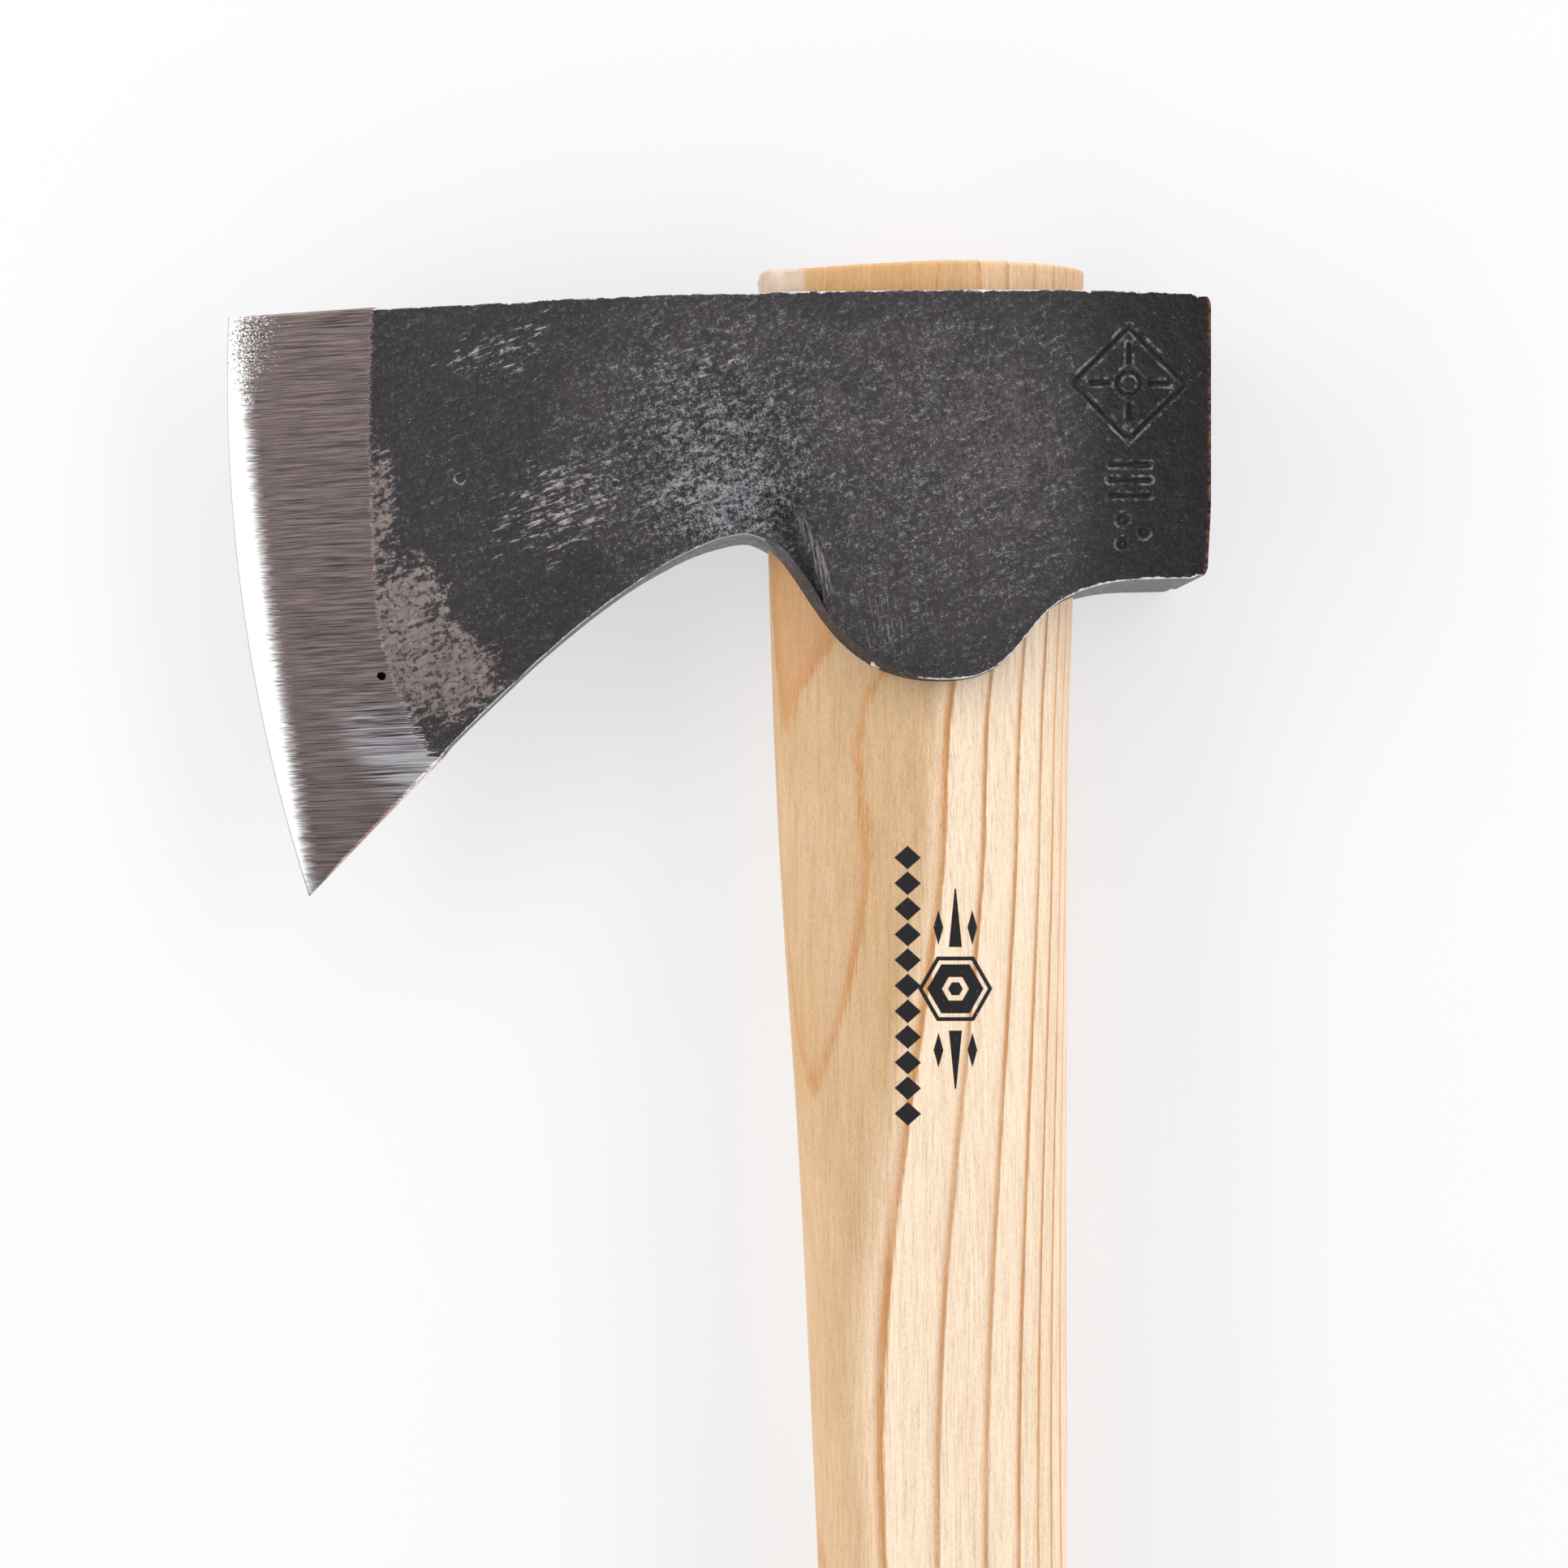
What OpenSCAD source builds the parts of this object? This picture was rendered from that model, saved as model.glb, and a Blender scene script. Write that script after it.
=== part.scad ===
// Carving hatchet: a forged bearded head on a hickory handle, held by a wedge and a staple.
// It lies on its side. +Z is up through the cheeks, +X points to the poll, +Y points out
// of the top of the eye, and the handle runs towards -Y. The origin is on the lower cheek,
// under the middle of the eye.

/* [Head] */
// Middle of the eye to the toe, the top corner of the cutting edge
toe_reach = 96.8; // [90:0.2:104]
// Straight distance from the toe to the heel of the cutting edge
edge_chord = 82; // [76:1:88]
// Lean of the cutting edge, which brings the heel back towards the handle
edge_lean = 7.9; // [5:0.1:11]
// How far the cutting edge bows out in front of its chord
edge_bow = 3.6; // [2:0.1:6]
// Middle of the eye to the poll face
poll_reach = 38.6; // [36:0.2:42]
// Height of the poll, from its top to its underside
poll_h = 39; // [37:0.5:42]
// Thickness over the cheeks, the thickest part of the head
cheek_t = 29; // [28:0.5:32]
// Thickness of the poll face
poll_t = 26.6; // [25:0.2:28]
// How far the lugs reach down the handle from the middle of the eye
lug_reach = 33.1; // [30:0.1:36]
// Width of the ground bevel behind the cutting edge, as a share of the blade
bevel_share = 0.283; // [0.24:0.001:0.34]
// Thickness of the blade where the ground bevel starts
bevel_t = 6.4; // [5:0.2:8]

/* [Eye] */
// Length of the eye at its top opening
eye_l = 45.2; // [43:0.2:47]
// Width of the eye at its top opening
eye_w = 21.4; // [19:0.2:22]
// How much shorter the eye is at the lugs than at its top opening
eye_taper_l = 3.5; // [2:0.1:5]
// How much narrower the eye is at the lugs than at its top opening
eye_taper_w = 0.8; // [0:0.1:2]

/* [Handle] */
// Length of the whole hatchet, from the stub above the eye to the knob
overall_l = 360; // [330:5:400]
// Height of the stub that stands above the head
stub_h = 4.9; // [2:0.1:8]
// Width of the grip where it is slimmest
grip_w = 31; // [29:0.5:34]
// Thickness of the grip
grip_t = 25; // [23:0.5:27]
// Width of the knob at the end of the handle
knob_w = 44; // [40:0.5:48]

/* [Wedge and staple] */
// How deep the wedge goes into the handle
wedge_l = 36; // [28:1:42]
// Thickness of the wedge at its top
wedge_t = 5; // [4:0.2:6]
// Width of the saw kerf that the wedge is driven into
kerf_w = 1.2; // [0.8:0.1:1.6]
// Width of the staple across its three legs
staple_w = 19; // [16:0.5:20]
// Length of the staple's legs
staple_l = 14; // [10:0.5:18]

/* [Hidden] */
mid_z = cheek_t / 2;
// Space between pieces that were driven together
fit_gap = 0.05;

// The outline's corner points, as [x, y]
top_y = poll_h / 2;
toe = [-toe_reach, top_y - 1.1];
heel = toe + edge_chord * [sin(edge_lean), -cos(edge_lean)];
throat = [-25, -13.1];
lug_tip = [2.3, -lug_reach];
shelf_start = [32, -poll_h / 2];
beard_curve = [heel, heel + [19.4, 20.2], throat - [16.6, 2], throat];
lug_front_curve = [throat, throat + [9.4, 0], lug_tip - [18.8, 0], lug_tip];
lug_back_curve = [lug_tip, lug_tip + [15.2, 0], shelf_start - [22.5, 0], shelf_start];

// The top line rises to a low crest in front of the eye: rows are [x, y]
top_line = [
    [-toe_reach, toe[1]], [-32, top_y + 0.8], [-8, top_y + 0.1], [poll_reach, top_y - 0.2]
];

// Stations count 0 at the cutting edge, 1 at the throat and 2 at the poll
land_station = 0.06;
land_half = 0.7;
edge_half = 0.12;
flat_from = -8;
flat_to = 13;
// Rows are [station, half thickness in the middle, half thickness at the lower rim]
blade_swell = [
    [bevel_share, bevel_t / 2, bevel_t * 0.38],
    [0.5, bevel_t / 2 + 1, bevel_t * 0.4],
    [0.75, 5.8, 3.8],
    [1, 9.4, 8.6],
    [1.14, mid_z - 2.3, mid_z - 2.7],
    [1.3, mid_z + 0.4, mid_z + 0.4]
];
rim_chamfer = 0.9;
rim_fade = 14;
rows_across = 12;

// Rows are [y, centre x, width, thickness] of the handle, from the lugs to the knob
lug_y = -lug_reach - 1;
end_y = top_y + stub_h - overall_l;
handle_rows = [
    [end_y, -1.5, knob_w - 3, cheek_t - 2.5],
    [mix(lug_y, end_y, 0.95), -2, knob_w, cheek_t],
    [mix(lug_y, end_y, 0.85), 1, mix(grip_w, knob_w, 0.42), cheek_t - 2.5],
    [mix(lug_y, end_y, 0.66), 4.3, grip_w, grip_t],
    [mix(lug_y, end_y, 0.4), 3.1, grip_w + 3.8, grip_t],
    [mix(lug_y, end_y, 0.2), 1.6, grip_w + 6.6, grip_t],
    [mix(lug_y, end_y, 0.09), 0.6, grip_w + 9, grip_t - 1],
    [lug_y, 0.2, eye_l - eye_taper_l, eye_w - eye_taper_w]
];
ring_points = 36;
knob_round = 9;
stub_dome = 0.9;

function mix(a, b, t) = a + (b - a) * t;

function bezier(p, t) =
    pow(1 - t, 3) * p[0] + 3 * pow(1 - t, 2) * t * p[1]
    + 3 * (1 - t) * t * t * p[2] + t * t * t * p[3];

// A smooth curve through rows whose first value is the key, read at a key
function row_slope(rows, i) =
    let (a = rows[max(i - 1, 0)], b = rows[min(i + 1, len(rows) - 1)]) (b - a) / (b[0] - a[0]);
function row_index(rows, key, i = 0) =
    i >= len(rows) - 2 || key < rows[i + 1][0] ? i : row_index(rows, key, i + 1);
function smooth_row(rows, key) =
    let (
        i = row_index(rows, key),
        a = rows[i],
        b = rows[i + 1],
        step = b[0] - a[0],
        t = (key - a[0]) / step
    )
    (2 * pow(t, 3) - 3 * t * t + 1) * a
    + (pow(t, 3) - 2 * t * t + t) * step * row_slope(rows, i)
    + (3 * t * t - 2 * pow(t, 3)) * b
    + (pow(t, 3) - t * t) * step * row_slope(rows, i + 1);

// Outside faces of a stack of rings with equally many points, counted the same way round
function ring_faces(rings, n) = [
    for (i = [0:rings - 2], j = [0:n - 1])
        let (a = i * n + j, b = i * n + (j + 1) % n)
            each [[a, b, a + n], [b, b + n, a + n]]
];
function cap_faces(rings, n) = [
    [for (j = [n - 1:-1:0]) j],
    [for (j = [0:n - 1]) (rings - 1) * n + j]
];
module loft(rings) {
    n = len(rings[0]);
    polyhedron(
        points = [for (ring = rings) each ring],
        faces = concat(ring_faces(len(rings), n), cap_faces(len(rings), n))
    );
}

// One station of the forging: its two ends on the outline, how far it bows, and its thickness
function station_of_x(x) = 1 + (x - throat[0]) / (poll_reach - throat[0]);
function half_at(s, x) =
    s <= land_station ? [1, 1] * mix(edge_half, land_half, s / land_station)
    : s <= bevel_share ? let (t = (s - land_station) / (bevel_share - land_station))
        [mix(land_half, bevel_t / 2, t), mix(land_half, bevel_t * 0.38, t)]
    : x <= flat_from ? let (row = smooth_row(blade_swell, s)) [min(mid_z, row[1]), min(mid_z, row[2])]
    : x <= flat_to ? [mid_z, mid_z]
    : [1, 1] * mix(mid_z, poll_t / 2, (x - flat_to) / (poll_reach - flat_to));
function blade_station(s) =
    let (low = bezier(beard_curve, s), x = mix(toe[0], throat[0], s))
    [low, [x, lookup(x, top_line)], edge_bow * pow(1 - s, 2), half_at(s, x)];
function body_station(low) =
    [low, [low[0], lookup(low[0], top_line)], 0, half_at(station_of_x(low[0]), low[0])];

blade_steps = 16;
lug_steps = 12;
bevel_stations = [0, land_station, mix(land_station, bevel_share, 0.5)];
stations = concat(
    [for (s = bevel_stations) blade_station(s)],
    [for (i = [0:blade_steps - 1]) blade_station(mix(bevel_share, 1, i / blade_steps))],
    [for (i = [0:lug_steps - 1]) body_station(bezier(lug_front_curve, i / lug_steps))],
    [for (i = [0:lug_steps]) body_station(bezier(lug_back_curve, i / lug_steps))],
    [body_station([poll_reach - rim_chamfer, shelf_start[1]])]
);

// A station's ring runs up the upper cheek from the lower rim and back down the lower cheek
function side_point(st, d, side) =
    let (
        span = norm(st[1] - st[0]),
        v = d / span,
        along = (st[1] - st[0]) / span,
        p = st[0] + along * d + [-along[1], along[0]] * st[2] * 4 * v * (1 - v),
        fade = min(1, d / rim_fade),
        half = mix(st[3][1], st[3][0], fade * fade * (3 - 2 * fade)),
        cut = min(rim_chamfer, 0.35 * half),
        rim = max(0, cut - min(d, span - d))
    )
    [p[0], p[1], mid_z + side * (half - rim)];
function station_ring(st) =
    let (
        span = norm(st[1] - st[0]),
        inner = [for (i = [0:rows_across]) mix(rim_chamfer, span - rim_chamfer, i / rows_across)],
        rows = concat([0], inner, [span])
    )
    concat(
        [for (i = [0:len(rows) - 1]) side_point(st, rows[i], 1)],
        [for (i = [len(rows) - 1:-1:0]) side_point(st, rows[i], -1)]
    );
// The poll face is drawn in from the last ring by the chamfer
function poll_face_ring(ring) = [
    for (p = ring)
        [
            poll_reach,
            p[1] * (1 - 2 * rim_chamfer / poll_h),
            mid_z + (p[2] - mid_z) * (1 - 2 * rim_chamfer / poll_t)
        ]
];

module head_forging() {
    rings = [for (st = stations) station_ring(st)];
    loft(concat(rings, [poll_face_ring(rings[len(rings) - 1])]));
}

// An egg-shaped section, fuller towards the poll, at one height of the handle
function oval(y, x, w, t, egg, square) = [
    for (i = [0:ring_points - 1])
        let (
            a = -360 * i / ring_points,
            c = sign(cos(a)) * pow(abs(cos(a)), 2 / square),
            s = sign(sin(a)) * pow(abs(sin(a)), 2 / square)
        )
            [x + w / 2 * c, y, mid_z + t / 2 * s * (1 + egg * c)]
];
eye_egg = 0.16;
eye_square = 2.1;
grip_square = 2.35;
function eye_share(y) = (top_y - y) / (top_y - lug_y);
function eye_oval(y, gap) =
    oval(
        y, 0.2, eye_l - eye_taper_l * eye_share(y) - 2 * gap,
        eye_w - eye_taper_w * eye_share(y) - 2 * gap, eye_egg, eye_square
    );

// The eye, a hole that opens out towards the top so that the spread tongue can't slip back
module eye_hole() {
    loft([eye_oval(top_y + 4, 0), eye_oval(lug_y - 4, 0)]);
}

module axe_head() {
    color("#2e3134") difference() {
        head_forging();
        eye_hole();
    }
}

// The tongue and stub follow the eye, and the body below follows the handle's rows
tongue_steps = 4;
body_steps = 30;
knob_steps = 6;
function body_ring(y, shrink) =
    let (
        row = smooth_row(handle_rows, y),
        u = min(1, (lug_y - y) / 45),
        egg = mix(eye_egg, 0.05, u),
        square = mix(eye_square, grip_square, u),
        gap = 2 * fit_gap * (1 - u)
    )
    oval(y, row[1], row[2] - gap - 2 * shrink, row[3] - gap - 2 * shrink, egg, square);
function dome_ring(y, share) = [
    for (p = eye_oval(y, fit_gap))
        let (x = p[0] * share, z = mid_z + (p[2] - mid_z) * share)
            [x, y + stub_dome * (1 - share * share), z]
];
knob_y = end_y + knob_round;
module handle_blank() {
    stub_y = top_y + stub_h - stub_dome;
    loft(concat(
        [for (share = [0.3, 0.6, 0.85]) dome_ring(stub_y, share)],
        [for (i = [0:tongue_steps]) eye_oval(mix(stub_y, lug_y, i / tongue_steps), fit_gap)],
        [for (i = [1:body_steps]) body_ring(mix(lug_y, knob_y, i / body_steps), 0)],
        [
            for (i = [1:knob_steps])
                let (a = 78 * i / knob_steps)
                    body_ring(knob_y - knob_round * sin(a), knob_round * (1 - cos(a)))
        ]
    ));
}

// The wedge's slab, tapered from its top to its tip, with more all round by gap
wedge_tip_t = 1.4;
wedge_top_y = top_y + stub_h + 1;
wedge_tip_y = top_y + stub_h - wedge_l;
module wedge_slab(gap) {
    top_half = wedge_t / 2 + gap;
    tip_half = wedge_tip_t / 2 + gap;
    translate([-eye_l, 0, mid_z]) rotate([90, 0, 90]) linear_extrude(2 * eye_l)
        polygon([
            [wedge_top_y, -top_half], [wedge_top_y, top_half],
            [wedge_tip_y - gap, tip_half], [wedge_tip_y - gap, -tip_half]
        ]);
}

// The saw kerf goes on below the wedge's tip
kerf_past_tip = 7;
module saw_kerf() {
    kerf_l = kerf_past_tip + wedge_l / 2;
    translate([-eye_l, wedge_tip_y - kerf_past_tip, mid_z - kerf_w / 2])
        cube([2 * eye_l, kerf_l, kerf_w]);
}

// The staple: a flat crown with three pointed legs, driven in askew across the wedge
staple_t = 1.6;
crown_h = 2.4;
leg_w = 3;
staple_turn = 32;
staple_x = 2;
module staple_body(gap) {
    crown_y = top_y + stub_h - 0.4;
    pitch = (staple_w - leg_w) / 2;
    half = leg_w / 2 + gap;
    crown_low = -crown_h - gap;
    tip_y = -crown_h - staple_l - gap;
    outline = concat(
        [
            for (x = [-pitch, 0, pitch])
                each [
                    [x - half, crown_low], [x - half, tip_y + leg_w], [x, tip_y],
                    [x + half, tip_y + leg_w], [x + half, crown_low]
                ]
        ],
        [[pitch + half, gap], [-pitch - half, gap]]
    );
    translate([staple_x, crown_y, mid_z]) rotate([0, staple_turn, 0])
        translate([0, 0, -staple_t / 2 - gap]) linear_extrude(staple_t + 2 * gap) polygon(outline);
}

module handle() {
    color("#dfc29a") difference() {
        handle_blank();
        wedge_slab(fit_gap);
        saw_kerf();
        staple_body(fit_gap);
    }
}

module wood_wedge() {
    color("#c79f6b") difference() {
        intersection() {
            handle_blank();
            wedge_slab(0);
        }
        staple_body(fit_gap);
    }
}

module lock_staple() {
    color("#b9bdc1") staple_body(0);
}

axe_head();
handle();
wood_wedge();
lock_staple();
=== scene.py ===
"""Carving hatchet: the visual model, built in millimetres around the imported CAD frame."""

import bmesh
import bpy
import numpy as np
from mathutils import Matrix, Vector


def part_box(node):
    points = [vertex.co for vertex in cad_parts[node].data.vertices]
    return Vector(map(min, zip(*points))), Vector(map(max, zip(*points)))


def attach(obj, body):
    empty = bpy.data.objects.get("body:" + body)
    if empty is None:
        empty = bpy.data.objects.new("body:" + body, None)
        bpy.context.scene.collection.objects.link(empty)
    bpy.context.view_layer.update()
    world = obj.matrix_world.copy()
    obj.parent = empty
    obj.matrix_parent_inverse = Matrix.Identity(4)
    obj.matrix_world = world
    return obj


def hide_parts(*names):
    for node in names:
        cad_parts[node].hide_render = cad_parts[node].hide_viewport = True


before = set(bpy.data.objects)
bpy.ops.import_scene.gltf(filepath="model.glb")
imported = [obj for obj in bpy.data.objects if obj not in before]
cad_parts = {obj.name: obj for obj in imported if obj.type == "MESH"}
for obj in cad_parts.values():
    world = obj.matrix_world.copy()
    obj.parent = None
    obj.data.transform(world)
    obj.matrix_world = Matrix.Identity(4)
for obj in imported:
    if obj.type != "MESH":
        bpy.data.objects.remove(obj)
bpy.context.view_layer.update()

MM = 0.001

# ---- driving places, in mm


def box_mm(node):
    """Lowest and highest corner of a CAD node, in millimetres."""
    low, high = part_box(node)
    return np.array(low) / MM, np.array(high) / MM


HEAD_LOW, HEAD_HIGH = box_mm("axe_head")
HANDLE_LOW, HANDLE_HIGH = box_mm("handle")
MID_Z = (HEAD_LOW[2] + HEAD_HIGH[2]) / 2
CHEEK_HALF = (HEAD_HIGH[2] - HEAD_LOW[2]) / 2
POLL_X = HEAD_HIGH[0]
POLL_HALF_Y = 19.5
TOE = np.array([-96.8, 18.4])
HEEL = np.array([HEAD_LOW[0] + 11.5, HEAD_LOW[1]])
THROAT = np.array([-25.0, -13.1])
LUG_TIP = np.array([2.3, -33.1])
SHELF = np.array([32.0, -POLL_HALF_Y])
EDGE_BOW = 3.6
POLL_HALF_Z = 13.3

# ---- number helpers


def mix(a, b, t):
    """a where t is 0, b where it is 1; works on numbers, arrays and shader values."""
    return a + (b - a) * t


def smooth(t):
    """Smoothstep of a share, cut off at 0 and 1."""
    t = np.clip(t, 0, 1)
    return t * t * (3 - 2 * t)


def fade(low, high, value):
    """0 below low, 1 above high, smooth between."""
    return smooth((value - low) / (high - low))


def curve(keys, values, at):
    """A smooth curve through a few points, read at any key."""
    keys, values = np.asarray(keys, float), np.asarray(values, float)
    slopes = np.gradient(values, keys)
    i = np.clip(np.searchsorted(keys, at) - 1, 0, len(keys) - 2)
    step = keys[i + 1] - keys[i]
    t = np.clip((at - keys[i]) / step, 0, 1)
    return (
        (2 * t**3 - 3 * t**2 + 1) * values[i]
        + (t**3 - 2 * t**2 + t) * step * slopes[i]
        + (3 * t**2 - 2 * t**3) * values[i + 1]
        + (t**3 - t**2) * step * slopes[i + 1]
    )


def bezier(points, t):
    t = t[:, None]
    a, b, c, d = (np.asarray(p, float) for p in points)
    return (1 - t) ** 3 * a + 3 * (1 - t) ** 2 * t * b + 3 * (1 - t) * t**2 * c + t**3 * d


def lattice(i, j, k, seed):
    """A repeatable random number from -1 to 1 for each whole-number place."""
    h = (i * 374761393 + j * 668265263 + k * 2147483647 + seed * 1274126177) & 0xFFFFFFFF
    h = ((h ^ (h >> 13)) * 1274126177) & 0xFFFFFFFF
    h = h ^ (h >> 16)
    return (h & 0xFFFF) / 32767.5 - 1


def noise(points, size, seed=0):
    """Smooth random field from -1 to 1 with features of about the given size in mm."""
    p = points / np.asarray(size, float)
    base = np.floor(p).astype(np.int64)
    f = p - base
    f = f * f * (3 - 2 * f)
    total = 0
    for k, j, i in np.ndindex(2, 2, 2):
        corner = np.array([i, j, k])
        weight = np.prod(np.where(corner, f, 1 - f), axis=-1)
        total = total + weight * lattice(*np.moveaxis(base + corner, -1, 0), seed)
    return total


def blob(x, y, centre, half_x, half_y, turn=0):
    """1 in the middle of a turned ellipse, 0 at its rim and beyond."""
    c, s = np.cos(np.radians(turn)), np.sin(np.radians(turn))
    dx, dy = x - centre[0], y - centre[1]
    u, v = (dx * c + dy * s) / half_x, (-dx * s + dy * c) / half_y
    return np.clip(1 - u * u - v * v, 0, 1)


# ---- mesh helpers


class Patches:
    """Gathers grids of points into one closed mesh, welding points that coincide."""

    def __init__(self):
        self.points, self.faces, self.count = [], [], 0

    def grid(self, points, wrap=False):
        """Adds a grid of points, rows by columns by 3, as quads."""
        rows, cols = points.shape[:2]
        index = self.count + np.arange(rows * cols).reshape(rows, cols)
        if wrap:
            index = np.hstack([index, index[:, :1]])
        a, b, c, d = index[:-1, :-1], index[:-1, 1:], index[1:, 1:], index[1:, :-1]
        self.faces.append(np.stack([a, b, c, d], -1).reshape(-1, 4))
        self.points.append(points.reshape(-1, 3))
        self.count += rows * cols

    def welded(self, decimals=4):
        """Points and faces with doubles joined, and faces that lost a corner turned to triangles."""
        points = np.concatenate(self.points)
        _, first, back = np.unique(
            np.round(points, decimals), axis=0, return_index=True, return_inverse=True
        )
        back = back.reshape(-1)
        faces = []
        for quad in back[np.concatenate(self.faces)]:
            corners = [int(v) for k, v in enumerate(quad) if v != quad[k - 1]]
            if len(set(corners)) >= 3 and len(set(corners)) == len(corners):
                faces.append(corners)
        return points[first], faces


def add_object(name, data):
    obj = bpy.data.objects.new(name, data)
    bpy.context.scene.collection.objects.link(obj)
    return obj


def make_mesh(name, points, faces):
    """A smooth-shaded mesh object from points in mm, with its normals turned outwards."""
    mesh = bpy.data.meshes.new(name)
    mesh.from_pydata((points * MM).tolist(), [], faces)
    bm = bmesh.new()
    bm.from_mesh(mesh)
    bmesh.ops.recalc_face_normals(bm, faces=bm.faces)
    bm.to_mesh(mesh)
    bm.free()
    mesh.shade_smooth()
    return add_object(name, mesh)


def points_of(obj):
    flat = np.empty(len(obj.data.vertices) * 3)
    obj.data.vertices.foreach_get("co", flat)
    return flat.reshape(-1, 3) / MM


def normals_of(obj):
    flat = np.empty(len(obj.data.vertices) * 3, np.float32)
    obj.data.vertex_normals.foreach_get("vector", flat)
    return flat.reshape(-1, 3).astype(float)


def set_points(obj, points):
    obj.data.vertices.foreach_set("co", (points * MM).ravel())
    obj.data.update()


def set_masks(obj, **masks):
    """Stores one named number per point for the materials to read."""
    for name, values in masks.items():
        attribute = obj.data.attributes.new(name, "FLOAT", "POINT")
        attribute.data.foreach_set("value", np.asarray(values, np.float32))


# ---- the head's shape

BEARD = [HEEL, HEEL + [19.4, 20.2], THROAT - [16.6, 2.0], THROAT]
LUG_FRONT = [THROAT, THROAT + [9.4, 0], LUG_TIP - [18.8, 0], LUG_TIP]
LUG_BACK = [LUG_TIP, LUG_TIP + [15.2, 0], SHELF - [22.5, 0], SHELF]
_steps = np.linspace(0, 1, 200)
UNDERSIDE = np.concatenate(
    [bezier(c, _steps) for c in (BEARD, LUG_FRONT, LUG_BACK)] + [[[POLL_X, -POLL_HALF_Y + 0.2]]]
)
CHORD = np.linalg.norm(TOE - HEEL)
EDGE_RADIUS = (CHORD**2 / 4 + EDGE_BOW**2) / (2 * EDGE_BOW)
_up_edge = (TOE - HEEL) / CHORD
_inward = np.array([_up_edge[1], -_up_edge[0]])
EDGE_CENTRE = (TOE + HEEL) / 2 + _inward * (EDGE_RADIUS - EDGE_BOW)

BEVEL_WIDTH = 20.2
LAND_WIDTH = 4.4
LAND_SLOPE = 0.27
LAND_KNEE = 0.05


def underside_y(x):
    return np.interp(x, UNDERSIDE[:, 0], UNDERSIDE[:, 1])


def top_y(x):
    """The top line, with its low crest in front of the eye and the softened rear corner."""
    return curve([-97, -70, -33, -10, 18, 38.7], [18.3, 19.4, 20.5, 19.85, 19.8, 19.5], x)


def from_edge(x, y):
    """Distance behind the cutting edge."""
    return EDGE_RADIUS - np.hypot(x - EDGE_CENTRE[0], y - EDGE_CENTRE[1])


def up_the_edge(x, y):
    """0 at the height of the heel, 1 at the toe."""
    return ((x - HEEL[0]) * _up_edge[0] + (y - HEEL[1]) * _up_edge[1]) / CHORD


def bevel_reach(v):
    """How far the ground bevel reaches back at each height."""
    return BEVEL_WIDTH + curve(
        [0, 0.13, 0.22, 0.3, 0.4, 0.6, 1], [8, 5.5, 2.0, 0, -1.1, -0.4, 0.5], v
    )


def land_reach(v):
    """Width of the honed land along the cutting edge, narrowing to both corners."""
    ends = (1 - 2 * v) ** 2
    return LAND_WIDTH - np.where(v < 0.5, 3.1, 2.1) * ends


def rim_cut(x):
    """Width in plan and depth in z of the worn or slanted lower rim."""
    slant = fade(-22.5, -19, x) * (1 - fade(-12, 1, x))
    return 0.3 + 1.05 * slant, 0.3 + 3.4 * slant


STATIONS = [0.2, 0.283, 0.5, 0.75, 1.0, 1.14, 1.27, 1.45, 1.6]
HALF_MIDDLE = [3.0, 3.2, 4.2, 5.8, 9.3, 12.1, 14.5, 17.5, 19]
HALF_RIM = [2.0, 2.3, 2.6, 3.9, 8.5, 11.8, 14.3, 17.3, 19]
SWELL_SOFT = 1.3


def forged_half(g, x, y, low_gap):
    """Half thickness of the hammered faces, by station g: 0 edge, 1 throat, 2 poll."""
    at = np.minimum(g, STATIONS[-1] - 0.01)
    middle, rim = curve(STATIONS, HALF_MIDDLE, at), curve(STATIONS, HALF_RIM, at)
    half = mix(rim, middle, smooth(low_gap / 14))
    half = CHEEK_HALF - SWELL_SOFT * np.log1p(np.exp((CHEEK_HALF - half) / SWELL_SOFT))
    behind = np.clip((x - 8) / (POLL_X - 8), 0, 1) ** 1.5
    half = half - (CHEEK_HALF - POLL_HALF_Z) * behind
    lug = fade(-19, -33, y) * fade(-24, -12, x) * (1 - fade(14, 26, x))
    return half - 0.9 * lug


DENT_RIDGE = np.array([[-17.6, -7.6], [-15.2, -11.8], [-13.4, -15.6], [-12.4, -18.8], [-12.0, -22.4]])


def dent_depth(x, y):
    """The fold left by the forging tool in front of the lug: steep under its ridge, gentle ahead."""
    ridge_x = np.interp(-y, -DENT_RIDGE[:, 1], DENT_RIDGE[:, 0])
    ahead = ridge_x - x
    span = fade(-26.5, -20, y) * (1 - fade(-11, -6, y))
    hollow = fade(-0.2, 3.2, ahead) * (1 - fade(3.4, 6.2, ahead))
    ridge = np.exp(-((ahead + 0.6) / 0.8) ** 2)
    return span * (1.75 * hollow - 0.25 * ridge)


def segment(x, y, a, b):
    """Distance from a straight stroke."""
    a, b = np.asarray(a, float), np.asarray(b, float)
    d = b - a
    t = np.clip(((x - a[0]) * d[0] + (y - a[1]) * d[1]) / (d @ d), 0, 1)
    return np.hypot(x - a[0] - t * d[0], y - a[1] - t * d[1])


MARK_X, MARK_Y = 27.6, 7.1
TALLY_Y, DOTS_Y = -6.0, -13.0


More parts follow.
